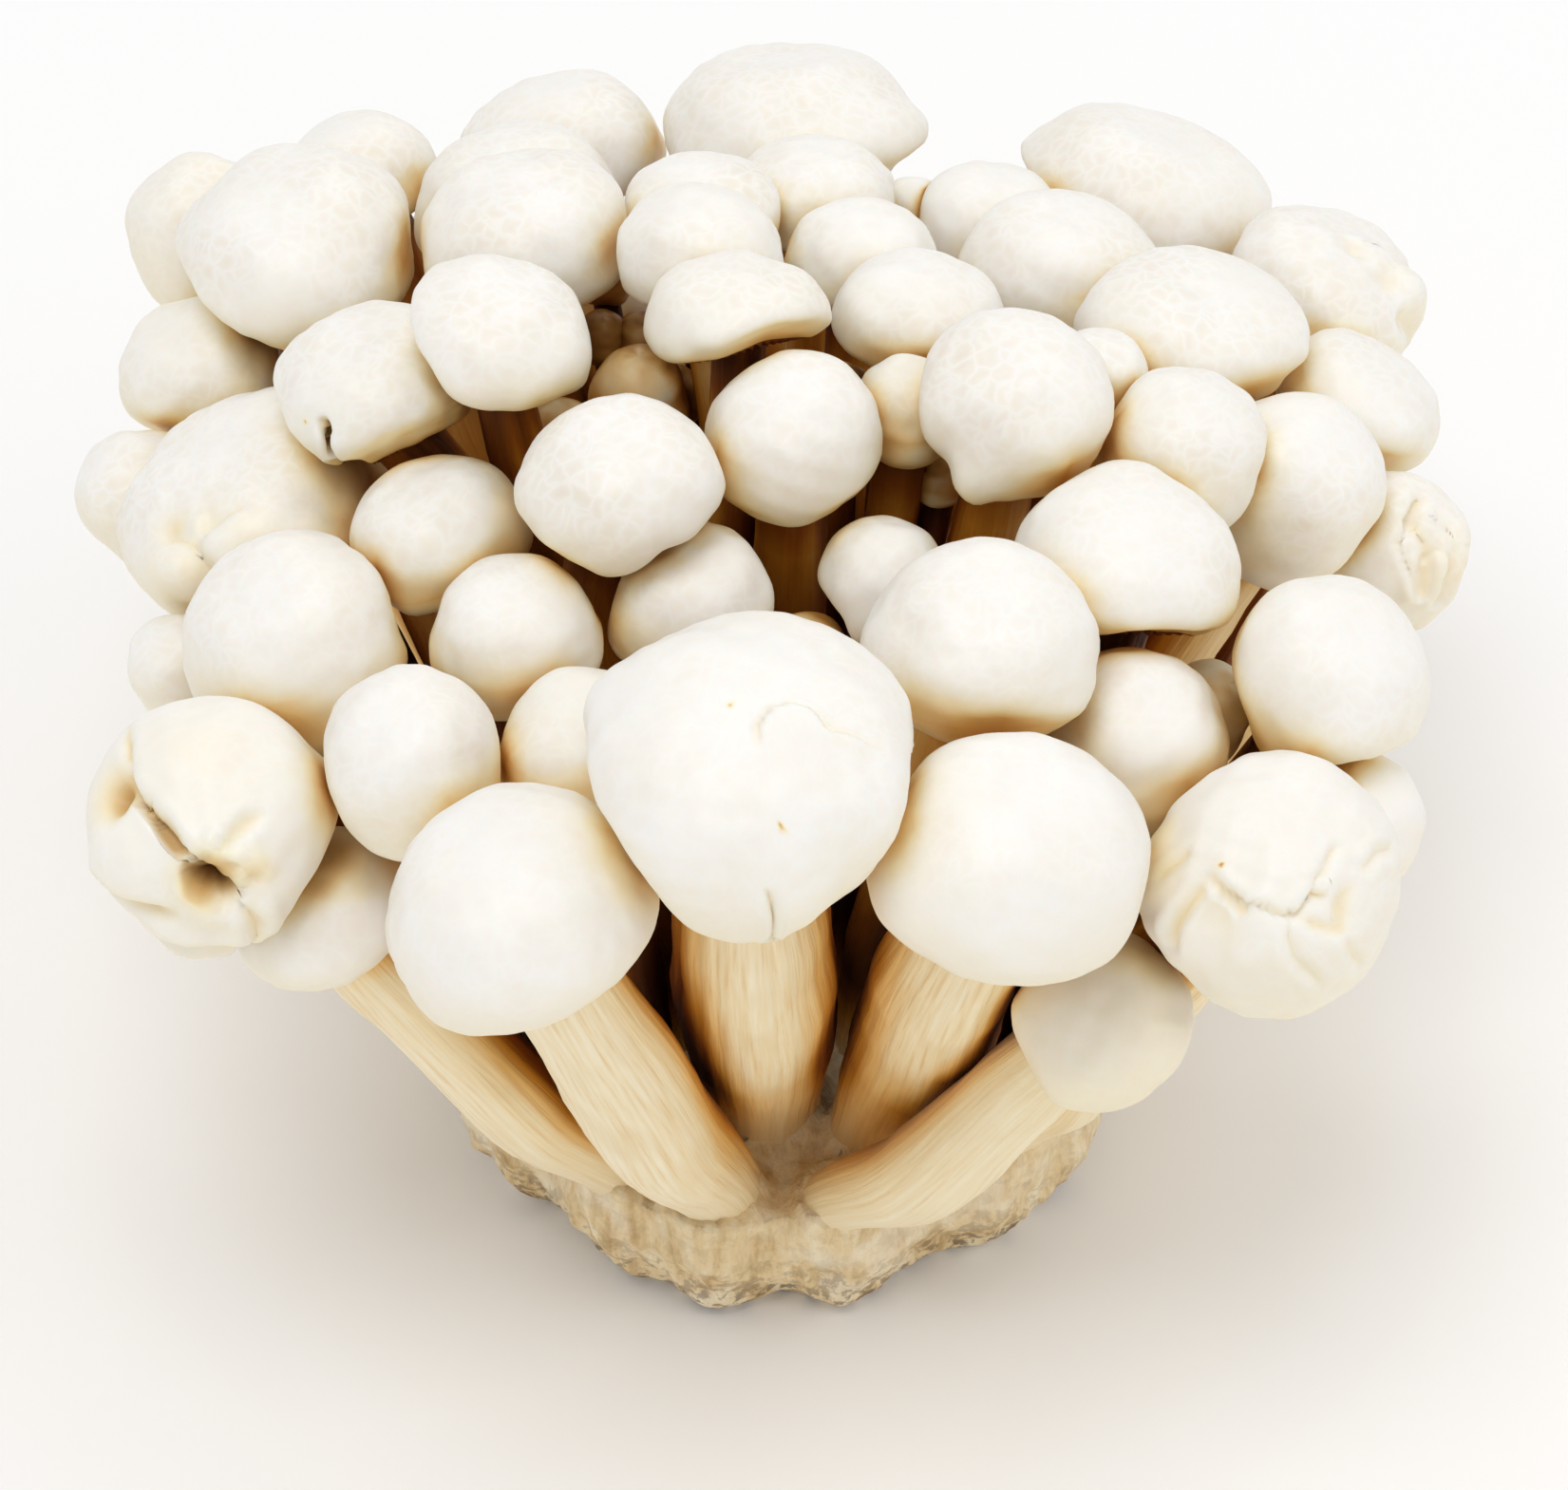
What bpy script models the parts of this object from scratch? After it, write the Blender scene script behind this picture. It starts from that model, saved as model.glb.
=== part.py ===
"""A clump of white beech mushrooms that stands on its cut base.

Lengths are in millimetres until a mesh is made. +Z is up, -Y is the front and +X is the right.
The origin is in the middle of the flat cut face that the clump stands on.
"""

import math
from collections import namedtuple

import bmesh
import bpy
import numpy as np

MM = 0.001
FAR_OFF = 1e3  # stands for a distance that does not count
SEED = 7
GAP = 0.5  # clear space left between neighbouring pieces
UNEVEN = 0.03  # how far the skin strays from a true surface
FOOT_BULGE = 0.1  # how far a foot's middle stands down

# The base: the grown-together feet, cut flat below
BASE_HEIGHT = 15.0
BASE_RADIUS = 35.5
BASE_CENTRE = (0.0, -6.0)
BASE_EDGE = 1.4  # how far the base stands out past the feet on it
BASE_SIDES = 60
BASE_LEAST = 0.88  # how far out the base reaches where no foot stands, as a share of its radius
BASE_SOFT = 0.25  # what each side of the base takes on from the next one
# The base's section, as heights and how far out it stands there
BASE_SECTION = ((0.0, -5.0), (2.2, -2.9), (7.0, -0.7), (11.5, 0.3), (BASE_HEIGHT, -0.9))
BASE_WAVES = ((9, 0.5, 0.0), (14, 0.4, 1.0))  # waves round the base, their height and turn
FOOT_SPREAD = 0.44  # a foot's distance from the middle, as a share of its cap's
LOW_SPREAD = 0.011  # added to that share for each mm that a cap is below the crown
CROWN_HEIGHT = 88.0
FEET_FILL = 0.84  # share of the base that the feet cover
FEET_PUSH = 0.35  # share of an overlap that two feet make way by in one round
FEET_PULL = 0.004  # share of the way back to its own place that a foot goes in one round

# A cap's section as (radius, height) shares, from near the crown to the turned-in lip
CAP_OUTSIDE = ((0.40, 0.965), (0.72, 0.81), (0.93, 0.52), (1.0, 0.23), (0.95, 0.04))
CAP_LIP = (0.82, -0.03)
GILL_RING = (0.60, 0.13)
GILL_RIDGE = 0.045  # how far every second point of the gill ring stands down, as a share of the height
STEM_TOP = 0.24  # height at which the stem meets the gills
CAP_MIDDLE = 0.42  # height of the widest part's centre, where a cap's place is stated
CAP_WAVE = 0.035  # how far a cap's outline strays from round, as a share of its radius
WAVY = 0.10  # the same for the wavy caps
THREE_WAVES = 0.7  # how high three waves round a cap are, as a share of two waves
CROWN_UNEVEN, MORE_UNEVEN = 0.35, 0.2  # how much of the waves shows near the crown, and more on each ring
PRESS_SOFT = 0.10  # how softly a cap flattens against its neighbour, as a share of its radius
PRESS_ROUNDS = 3
STEM_SOFT = 0.15  # how softly a stem does

# Notches in an outline, as the share of the way round and what is left of the radius there
NOTCHES = {
    "mushroom_a1_torn": ((0.66, 0.72),),
    "mushroom_d6_ragged": ((0.0, 0.80), (0.2, 0.86)),
    "mushroom_e3_split": ((0.62, 0.80),),
}

# Caps make way for each other along lines that meet here, and keep the outline that they show from here
SEEN_FROM = (0.0, -445.5, 493.0)
MAKE_WAY = 14.0  # the most that a cap moves along its line
CAP_STEPS = 400  # rounds in which the caps make way
CAP_PUSH = 0.06  # share of an overlap that two caps make way by in one round
CAP_KEEP = 0.996  # share of a cap's move that is left after each round

# Caps that come to lie over neighbours although they are stated further back
OVER = {
    "mushroom_a1_torn": ("mushroom_a2", "mushroom_b1"),
    "mushroom_a4_giant": ("mushroom_a3", "mushroom_a5"),
    "mushroom_b4": ("mushroom_b5",),
    "mushroom_b7": ("mushroom_a8",),
    "mushroom_c6": ("mushroom_b5", "mushroom_d5"),
    "mushroom_d3": ("mushroom_c3",),
    "mushroom_d5": ("mushroom_d6_ragged",),
    "mushroom_e1": ("mushroom_c1",),
    "mushroom_e3_split": ("mushroom_d1_wavy",),
    "mushroom_e4": ("mushroom_e3_split", "mushroom_f2"),
    "mushroom_e8": ("mushroom_d5",),
    "mushroom_f1": ("mushroom_e2",),
    "mushroom_f7": ("mushroom_e9", "mushroom_f6"),
}

STEM_STATIONS = (0.0, 0.22, 0.5, 0.78, 1.0)
STEM_SWELL = (0.92, 1.12, 1.10, 0.98, 0.88)
STEM_OVAL = 0.06  # how far a stem strays from round
STEM_UPRIGHT = 0.35  # how much more upright a stem leaves the base than its cap lies from its foot
STEM_HANDLES = (0.33, 0.30)  # share of its reach over which a stem keeps its way, at the foot and at the cap
STEM_STEPS = 260  # rounds in which the stems make way for each other
STEM_PUSH = 0.3  # share of an overlap that two stems make way by in one round
STEM_PULL = 0.02  # share of the way back to its own line that a stem goes in one round
STEM_SMOOTH = 0.05  # how far a stem straightens in one round
MOST_MOVE = 1.5  # the most that a point of a stem moves in one round
CAP_CLEAR = 0.8  # space that a stem keeps to a cap
CAP_SHARE = 0.5  # share of its overlap with a cap that a stem makes way by in one round
FEET_STEPS = 900  # rounds in which the feet make way for each other

THIN_ROUNDS = 12
THIN_SHARE = 0.3  # share of an overlap that a stem gets thinner by in one round
THIN_LEAST = 0.6  # what is left of a stem's thickness at the least
CLOSE = 0.01  # an overlap that counts as none

BIG_CAP = 24.0  # caps from this width on have more sides
SIDES_BIG, SIDES, SIDES_SMALL = 12, 10, 8
SMOOTH_UP_TO = 60  # edges sharper than this angle in degrees stay sharp

Mushroom = namedtuple("Mushroom", "x y z width plump right back stem")

# Each mushroom by its cap: middle across, middle in depth, middle in height, width, height as a
# share of the width, lean to the right and to the back in degrees, and stem width.
# Rows run from the front, a, to the back, g. Each runs from left to right.
MUSHROOMS = {
    "mushroom_a1_torn": Mushroom(-56, -38, 75, 26, 0.70, -28, -30, 11),
    "mushroom_a2": Mushroom(-45.3, -44, 70, 18.8, 0.46, -22, 0, 9),
    "mushroom_a3": Mushroom(-25.4, -57, 84.4, 26.2, 0.50, -10, -3, 12),
    "mushroom_a4_giant": Mushroom(-3.5, -47, 91.6, 37, 0.50, 2, 0, 15.5),
    "mushroom_a5": Mushroom(21.6, -53, 87, 27.2, 0.52, 8, -3, 13),
    "mushroom_a6": Mushroom(31.3, -53.5, 63.6, 18.5, 0.54, 22, -42, 9.5),
    "mushroom_a7_wrinkled": Mushroom(47, -50, 79.5, 26, 0.70, 22, -36, 11),
    "mushroom_a8": Mushroom(56, -37, 74, 14.5, 0.76, 34, -20, 8),
    "mushroom_b1": Mushroom(-48, -27, 89.7, 22.8, 0.62, -16, -12, 9.5),
    "mushroom_b2": Mushroom(-36, -38, 84, 19, 0.70, -10, -14, 8),
    "mushroom_b3": Mushroom(-19.5, -34, 82, 17.8, 0.50, -6, -2, 8),
    "mushroom_b4": Mushroom(19.7, -27, 89.3, 23, 0.58, 6, -3, 9),
    "mushroom_b5": Mushroom(33.5, -38, 86, 19.5, 0.78, 12, -25, 8.5),
    "mushroom_b6": Mushroom(42, -24, 76.5, 10.5, 0.76, 22, -8, 6),
    "mushroom_b7": Mushroom(53.6, -25, 82.2, 21.6, 0.66, 22, -13, 9.5),
    "mushroom_c1": Mushroom(-61, -14, 73, 11, 0.76, -34, -8, 6),
    "mushroom_c2": Mushroom(-26.5, -22, 85.3, 17.2, 0.66, -8, -5, 7.5),
    "mushroom_c3": Mushroom(-9.3, -22, 90.4, 17, 0.62, -2, -3, 7),
    "mushroom_c4": Mushroom(2, -18, 78, 9.5, 0.80, 0, -6, 5),
    "mushroom_c5": Mushroom(10, -15, 86.5, 13.4, 0.62, 4, 2, 6),
    "mushroom_c6": Mushroom(34.5, -13, 86, 23.7, 0.54, 14, -2, 9),
    "mushroom_d1_wavy": Mushroom(-52.8, -8, 89.8, 30.5, 0.42, -18, 3, 10),
    "mushroom_d2": Mushroom(-34.6, -10, 88.3, 18.4, 0.54, -10, 2, 7),
    "mushroom_d3": Mushroom(-16.4, -7, 90.8, 21.4, 0.64, -6, -5, 8),
    "mushroom_d4": Mushroom(1, -1, 92.5, 18.4, 0.70, 0, -7, 8),
    "mushroom_d5": Mushroom(51.5, 3, 82, 20.2, 0.78, 32, -14, 8),
    "mushroom_d6_ragged": Mushroom(62, -5, 81.5, 16, 0.64, 40, -16, 8.5),
    "mushroom_e1": Mushroom(-66, 9, 75, 14, 0.86, -42, -8, 8),
    "mushroom_e2": Mushroom(-60.5, 17, 86, 17.7, 0.56, -28, 4, 8),
    "mushroom_e3_split": Mushroom(-42, 7, 91.2, 22.8, 0.52, -14, 3, 8),
    "mushroom_e4": Mushroom(-29.4, 14, 93, 21.2, 0.50, 10, 7, 6.5),
    "mushroom_e5": Mushroom(-4.6, 14, 95.5, 19.2, 0.46, 0, 16, 6.5),
    "mushroom_e6": Mushroom(23.6, 7, 90, 21.6, 0.62, 8, -1, 7.5),
    "mushroom_e7": Mushroom(32.5, 16, 86, 11, 0.56, 12, 6, 5.5),
    "mushroom_e8": Mushroom(41, 7, 83.8, 18.2, 0.68, 24, 0, 7),
    "mushroom_e9": Mushroom(59.6, 15, 82.6, 19.2, 0.47, 32, 8, 8),
    "mushroom_f1": Mushroom(-51.5, 34, 87.5, 28, 0.52, -16, 6, 10.5),
    "mushroom_f2": Mushroom(-27, 29, 93.8, 23, 0.50, -8, 7, 7.5),
    "mushroom_f3": Mushroom(-9, 28, 92.8, 18, 0.50, -2, 9, 6.5),
    "mushroom_f4": Mushroom(8, 32, 88.5, 16.4, 0.48, 2, 12, 6.5),
    "mushroom_f5": Mushroom(13.7, 20, 90, 19, 0.50, 4, 12, 6.5),
    "mushroom_f6": Mushroom(29.3, 30, 88, 22, 0.50, 10, 7, 7.5),
    "mushroom_f7": Mushroom(43.2, 23, 85.6, 26.6, 0.39, 14, 10, 9),
    "mushroom_f8_wavy": Mushroom(58, 36, 80.8, 23, 0.42, 26, 10, 9),
    "mushroom_g1": Mushroom(-62, 46, 79, 17.4, 0.82, -38, 4, 8.5),
    "mushroom_g2": Mushroom(-46, 56, 79.5, 17.4, 0.56, -16, 20, 8.5),
    "mushroom_g3": Mushroom(-28.7, 45, 85.6, 21.8, 0.50, -8, 14, 7.5),
    "mushroom_g4": Mushroom(-24, 60, 79, 23.6, 0.56, -8, 22, 10),
    "mushroom_g5": Mushroom(-8.6, 42, 85.8, 18.2, 0.48, -2, 15, 6.5),
    "mushroom_g6": Mushroom(3.2, 45, 85.6, 18.4, 0.48, 2, 15, 6),
    "mushroom_g7": Mushroom(1.0, 58, 83, 31.4, 0.46, 0, 20, 10.5),
    "mushroom_g8": Mushroom(39.3, 50, 82.2, 29.4, 0.39, 16, 18, 11),
}

# Small mushrooms that branch from one foot, each bunch by its members
BUNCHES = {
    "bunch_middle_left": (
        Mushroom(-19, 29, 79, 6, 0.9, 0, 0, 3.4),
        Mushroom(-15, 19, 80, 10.5, 0.84, 0, 0, 5.5),
        Mushroom(-23, 13, 79.5, 8.5, 0.8, 2, 0, 4.5),
        Mushroom(-19, 35, 82, 6, 0.8, 0, 8, 3.4),
    ),
    "bunch_middle": (
        Mushroom(12.3, 8, 88, 11, 0.80, 4, -4, 5.5),
        Mushroom(16, 4.5, 81.5, 6.5, 0.8, 4, 0, 3.6),
        Mushroom(6, 15, 84, 6.5, 0.7, 0, 0, 3.6),
    ),
    "bunch_back_middle": (
        Mushroom(22, 43, 84, 17, 0.48, 8, 13, 6.5),
        Mushroom(14, 53, 77, 7, 0.74, 2, 16, 3.8),
    ),
    "bunch_back_left": (
        Mushroom(-55, 52, 60, 15, 0.66, -32, 34, 7),
        Mushroom(-36, 60, 63, 17, 0.64, -14, 36, 7.5),
    ),
    "bunch_back": (
        Mushroom(-12, 62, 60, 16, 0.66, -6, 38, 7),
        Mushroom(9, 61, 64, 14, 0.68, 6, 34, 6.5),
    ),
    "bunch_back_right": (
        Mushroom(33, 59, 62, 17, 0.64, 16, 36, 7.5),
        Mushroom(56, 50, 61, 15, 0.66, 34, 32, 7),
    ),
}

WHITE_FLESH, FLESH_ROUGHNESS = (0.93, 0.89, 0.80, 1.0), 0.55
CREAM_BASE, BASE_ROUGHNESS = (0.72, 0.60, 0.42, 1.0), 0.8


def unit(vector):
    return vector / np.linalg.norm(vector)


class Shape:
    """One mushroom's settled form: its cap's place and axis, its stem's line and its thickness."""

    def __init__(self, node, row, number, shares_foot):
        self.node = node
        self.half = row.width / 2
        self.tall = row.width * row.plump
        right, back = math.radians(row.right), math.radians(row.back)
        self.axis = unit(np.array([math.tan(right), math.tan(back), 1.0]))
        self.stem = row.stem / 2
        self.place(np.array([row.x, row.y, row.z], float))
        spread = FOOT_SPREAD + LOW_SPREAD * max(CROWN_HEIGHT - row.z, 0)
        self.foot = np.array([*BASE_CENTRE, BASE_HEIGHT + GAP])
        self.foot[:2] += spread * np.array([row.x - BASE_CENTRE[0], row.y - BASE_CENTRE[1]])
        self.foot_radius = self.stem * STEM_SWELL[0]
        self.shares_foot = shares_foot
        draw = np.random.default_rng(SEED + number)
        self.phases = draw.uniform(0, 2 * math.pi, 4)
        self.draw = draw
        self.sides = SIDES_BIG if row.width >= BIG_CAP else SIDES
        if shares_foot:
            self.sides = SIDES_SMALL
        self.line = None
        self.swell = self.stem * np.array(STEM_SWELL)

    def place(self, middle, growth=1.0):
        """Sets the cap down with its middle there, grown by that much."""
        self.middle = middle
        self.half *= growth
        self.tall *= growth
        self.rim = middle - self.axis * CAP_MIDDLE * self.tall
        self.top = self.rim + self.axis * STEM_TOP * self.tall

    def reach(self, direction):
        return cap_reach(direction, self.axis, self.half, self.tall)


def cap_reach(direction, axis, half, tall):
    """How far a cap reaches from its middle in a direction, as an egg-shaped body."""
    along = np.sum(direction * axis, axis=-1)
    end = tall * np.where(along > 0, 1 - CAP_MIDDLE, CAP_MIDDLE)
    return 1 / np.sqrt((1 - along**2) / half**2 + along**2 / end**2)


def all_shapes():
    """Every mushroom, those of the bunches too, each with its own number for its seeded draws."""
    shapes = [Shape(node, row, number, False) for number, (node, row) in enumerate(MUSHROOMS.items())]
    for node, rows in BUNCHES.items():
        for row in rows:
            shapes.append(Shape(node, row, len(shapes), True))
    return shapes


def lies_over(front, behind):
    """Whether the first cap comes to lie over the second."""
    if front.node in OVER.get(behind.node, ()):
        return False
    if behind.node in OVER.get(front.node, ()):
        return True
    return math.dist(front.middle, SEEN_FROM) < math.dist(behind.middle, SEEN_FROM)


def settle_caps(shapes):
    """Draws caps that would run into each other apart along their lines, the upper ones nearer."""
    pairs = [
        (a, b)
        for a, front in enumerate(shapes)
        for b, behind in enumerate(shapes)
        if front.node != behind.node and lies_over(front, behind)
    ]
    first, second = np.array(pairs).T
    middle = np.array([s.middle for s in shapes])
    axis = np.array([s.axis for s in shapes])
    half, tall = np.array([(s.half, s.tall) for s in shapes]).T
    line = np.array(SEEN_FROM) - middle
    far = np.linalg.norm(line, axis=1)
    line /= far[:, None]
    nearer = np.zeros(len(shapes))
    for _ in range(CAP_STEPS):
        growth = 1 - nearer / far
        here = middle + line * nearer[:, None]
        between = here[second] - here[first]
        distance = np.linalg.norm(between, axis=1)
        way = between / distance[:, None]
        reach = cap_reach(way, axis[first], (half * growth)[first], (tall * growth)[first])
        reach += cap_reach(-way, axis[second], (half * growth)[second], (tall * growth)[second])
        short = np.maximum(reach + GAP - distance, 0)
        push = np.bincount(first, short, len(shapes)) - np.bincount(second, short, len(shapes))
        nearer = np.clip(CAP_KEEP * nearer + CAP_PUSH * push, -MAKE_WAY, MAKE_WAY)
    for shape, spot, grown in zip(shapes, here, growth):
        shape.place(spot, grown)


def settle_feet(shapes):
    """Spreads the feet over the base until none overlaps another. A bunch's members share one foot."""
    feet = {}
    for shape in shapes:
        key = shape.node if shape.shares_foot else id(shape)
        feet.setdefault(key, []).append(shape)
    groups = list(feet.values())
    place = np.array([np.mean([s.foot[:2] for s in group], axis=0) for group in groups])
    radius = np.array([max(s.foot_radius for s in group) for group in groups])
    radius *= math.sqrt(FEET_FILL * BASE_RADIUS**2 / np.sum((radius + GAP / 2) ** 2))
    home = place.copy()
    for _ in range(FEET_STEPS):
        apart = place[:, None] - place[None]
        distance = np.linalg.norm(apart, axis=2) + np.eye(len(groups)) * FAR_OFF
        short = np.maximum(radius[:, None] + radius[None] + GAP - distance, 0)
        place += FEET_PUSH * np.sum(apart / distance[..., None] * short[..., None], axis=1)
        place += FEET_PULL * (home - place)
        out = place - BASE_CENTRE
        far = np.linalg.norm(out, axis=1)
        limit = BASE_RADIUS - radius
        over = far > limit
        place[over] = BASE_CENTRE + out[over] * (limit[over] / far[over])[:, None]
    for group, spot, thick in zip(groups, place, radius):
        for shape in group:
            shape.foot[:2] = spot
            shape.foot_radius = thick
            shape.swell[0] = thick


def curve_between(foot, top, axis):
    """Stations of a stem that leaves the base nearly upright and meets its cap along the cap's axis."""
    reach = np.linalg.norm(top - foot)
    toward = unit(top - foot)
    start = unit(toward + np.array([0.0, 0.0, STEM_UPRIGHT]))
    first, second = foot + start * reach * STEM_HANDLES[0], top - axis * reach * STEM_HANDLES[1]
    stations = []
    for t in STEM_STATIONS:
        s = 1 - t
        stations.append(s**3 * foot + 3 * s * s * t * first + 3 * s * t * t * second + t**3 * top)
    return np.array(stations)


def sample_weights(steps):
    """Shares of the stations that make evenly spaced samples along a stem, so many to a station gap."""
    stations = len(STEM_STATIONS)
    samples = np.linspace(0, stations - 1, steps * (stations - 1) + 1)
    lower = np.minimum(samples.astype(int), stations - 2)
    weights = np.zeros((len(samples), stations))
    weights[np.arange(len(samples)), lower] = 1 - (samples - lower)
    weights[np.arange(len(samples)), lower + 1] = samples - lower
    return weights


def crowding(lines, swell, weights, same):
    """For each sample of each stem, the push that it gets and how deep its worst overlap is."""
    points = np.einsum("ks,isd->ikd", weights, lines).reshape(-1, 3)
    thick = (swell @ weights.T).reshape(-1)
    apart = points[:, None] - points[None]
    distance = np.linalg.norm(apart, axis=2)
    distance[same] = FAR_OFF
    short = np.maximum(thick[:, None] + thick[None] + GAP - distance, 0)
    push = np.sum(apart / np.maximum(distance, 1e-6)[..., None] * short[..., None], axis=1)
    return points, thick, push, short.max(axis=1)


def same_bunch(shapes, samples):
    """Which pairs of samples belong to one node."""
    bunch = [s.node if s.shares_foot else index for index, s in enumerate(shapes)]
    numbers = np.array([bunch.index(b) for b in bunch])
    owner = np.repeat(np.arange(len(shapes)), samples)
    return owner, numbers, numbers[owner][:, None] == numbers[owner][None]


def settle_stems(shapes):
    """Bends the stems clear of each other and of the caps. Feet and caps stay where they are."""
    lines = np.array([curve_between(s.foot, s.top, s.axis) for s in shapes])
    home = lines.copy()
    swell = np.array([s.swell for s in shapes])
    weights = sample_weights(3)
    owner, numbers, same = same_bunch(shapes, len(weights))
    spread = np.tile(weights, (len(shapes), 1))
    for _ in range(STEM_STEPS):
        points, thick, push, _ = crowding(lines, swell, weights, same)
        push *= STEM_PUSH
        for index, shape in enumerate(shapes):
            out = points - shape.middle
            far = np.linalg.norm(out, axis=1)
            near = (far < shape.half + thick + 2) & (numbers[owner] != numbers[index])
            for k in np.nonzero(near)[0]:
                direction = out[k] / max(far[k], 1e-6)
                deep = shape.reach(direction) + thick[k] + CAP_CLEAR - far[k]
                if deep > 0:
                    push[k] += direction * deep * CAP_SHARE
        moved = np.zeros_like(lines)
        np.add.at(moved, owner, spread[:, :, None] * push[:, None, :])
        moved[:, [0, -1]] = 0
        lines += np.clip(moved, -MOST_MOVE, MOST_MOVE)
        inner = slice(1, -1)
        lines[:, inner] += STEM_PULL * (home[:, inner] - lines[:, inner])
        lines[:, inner] += STEM_SMOOTH * (lines[:, :-2] + lines[:, 2:] - 2 * lines[:, 1:-1])
    thin_stems(shapes, lines, swell)
    for shape, line, thickness in zip(shapes, lines, swell):
        shape.line = line
        shape.swell = thickness


def thin_stems(shapes, lines, swell):
    """Thins the stems where they are still crowded."""
    weights = sample_weights(6)
    _, _, same = same_bunch(shapes, len(weights))
    least = swell * THIN_LEAST
    for _ in range(THIN_ROUNDS):
        worst = crowding(lines, swell, weights, same)[3].reshape(len(shapes), -1)
        if worst.max() < CLOSE:
            break
        for station in range(len(STEM_STATIONS)):
            reached = weights[:, station] > 0.25
            swell[:, station] -= THIN_SHARE * worst[:, reached].max(axis=1)
        np.maximum(swell, least, out=swell)


def press(points, middle, direction, limit, soft):
    """Holds points on the near side of a plane, so that a cap flattens where it meets a neighbour."""
    ahead = (points - middle) @ direction
    start = limit - soft
    over = ahead > start
    eased = start + soft * (1 - np.exp(-(ahead - start) / soft))
    return points + np.outer(np.where(over, eased - ahead, 0.0), direction)


def across(axis):
    """Two directions square to an axis, the first as near to the right as can be."""
    first = unit(np.array([1.0, 0, 0]) - axis * axis[0])
    return first, np.cross(axis, first)


def cap_rings(shape):
    """The cap from near its crown to the gills, with the uneven outline of a grown thing."""
    first, second = across(shape.axis)
    angles = np.arange(shape.sides) * 2 * math.pi / shape.sides
    wave = WAVY if "wavy" in shape.node else CAP_WAVE
    outline = 1 + wave * np.sin(2 * angles + shape.phases[0])
    outline += wave * THREE_WAVES * np.sin(3 * angles + shape.phases[1])
    for place, left in NOTCHES.get(shape.node, ()):
        outline[int(shape.sides * place)] *= left
    crown = shape.rim + shape.axis * shape.tall
    rings = []
    section = [*CAP_OUTSIDE, CAP_LIP, GILL_RING]
    for number, (radius, height) in enumerate(section):
        level = np.full(shape.sides, height)
        round_ring = outline ** min(1.0, CROWN_UNEVEN + MORE_UNEVEN * number)
        if (radius, height) == GILL_RING:
            level += GILL_RIDGE * np.where(np.arange(shape.sides) % 2, -1, 1)
        spread = radius * shape.half * round_ring
        ring = (
            shape.rim
            + np.outer(level * shape.tall, shape.axis)
            + np.outer(spread * np.cos(angles), first)
            + np.outer(spread * np.sin(angles), second)
        )
        rings.append(ring)
    return crown, rings


def stem_rings(shape):
    """Rings down the stem, square to it on the way and flat at its foot."""
    rings = []
    count = len(shape.line)
    for number in reversed(range(count)):
        ahead = shape.line[min(number + 1, count - 1)] - shape.line[max(number - 1, 0)]
        axis = unit(ahead)
        if number == count - 1:
            axis = shape.axis
        if number == 0:
            axis = np.array([0.0, 0.0, 1.0])
        first, second = across(axis)
        angles = np.arange(shape.sides) * 2 * math.pi / shape.sides
        oval = 1 + STEM_OVAL * np.sin(2 * angles + shape.phases[2])
        if number == 0:
            oval = np.ones(shape.sides)
        spread = shape.swell[number] * oval
        rings.append(
            shape.line[number]
            + np.outer(spread * np.cos(angles), first)
            + np.outer(spread * np.sin(angles), second)
        )
    return rings


def neighbours_of(shape, shapes):
    """Each neighbouring cap or stem, as the direction to it and how far this cap may reach that way."""
    found = []
    weights = sample_weights(8)
    for other in shapes:
        if other is shape:
            continue
        if other.node != shape.node:
            points = weights @ other.line - shape.middle
            far = np.linalg.norm(points, axis=1)
            nearest = int(np.argmin(far - weights @ other.swell))
            limit = far[nearest] - float(weights[nearest] @ other.swell) - GAP
            if 0 < limit < shape.half + 1:
                found.append((points[nearest] / far[nearest], limit))
        between = other.middle - shape.middle
        distance = np.linalg.norm(between)
        if distance > shape.half + other.half + 4:
            continue
        direction = between / distance
        mine, theirs = shape.reach(direction), other.reach(-direction)
        limit = (distance**2 + mine**2 - theirs**2) / (2 * distance)
        found.append((direction, limit - GAP / 2))
    return found


def press_stem(ring, centre, shape, shapes):
    """Holds a stem ring clear of the other stems that pass it at the same height."""
    for other in shapes:
        if other.node == shape.node:
            continue
        heights = other.line[:, 2]
        if not heights[0] - 1 <= centre[2] <= heights[-1] + 1:
            continue
        spot = np.array([np.interp(centre[2], heights, other.line[:, axis]) for axis in range(3)])
        thick = float(np.interp(centre[2], heights, other.swell))
        mine = float(np.max(np.linalg.norm(ring - centre, axis=1)))
        between = spot - centre
        between[2] = 0
        distance = np.linalg.norm(between)
        if distance > mine + thick + 2 or distance < 1e-6:
            continue
        limit = (distance**2 + mine**2 - thick**2) / (2 * distance) - GAP / 2
        ring = press(ring, centre, between / distance, limit, STEM_SOFT * mine)
    return ring


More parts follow.
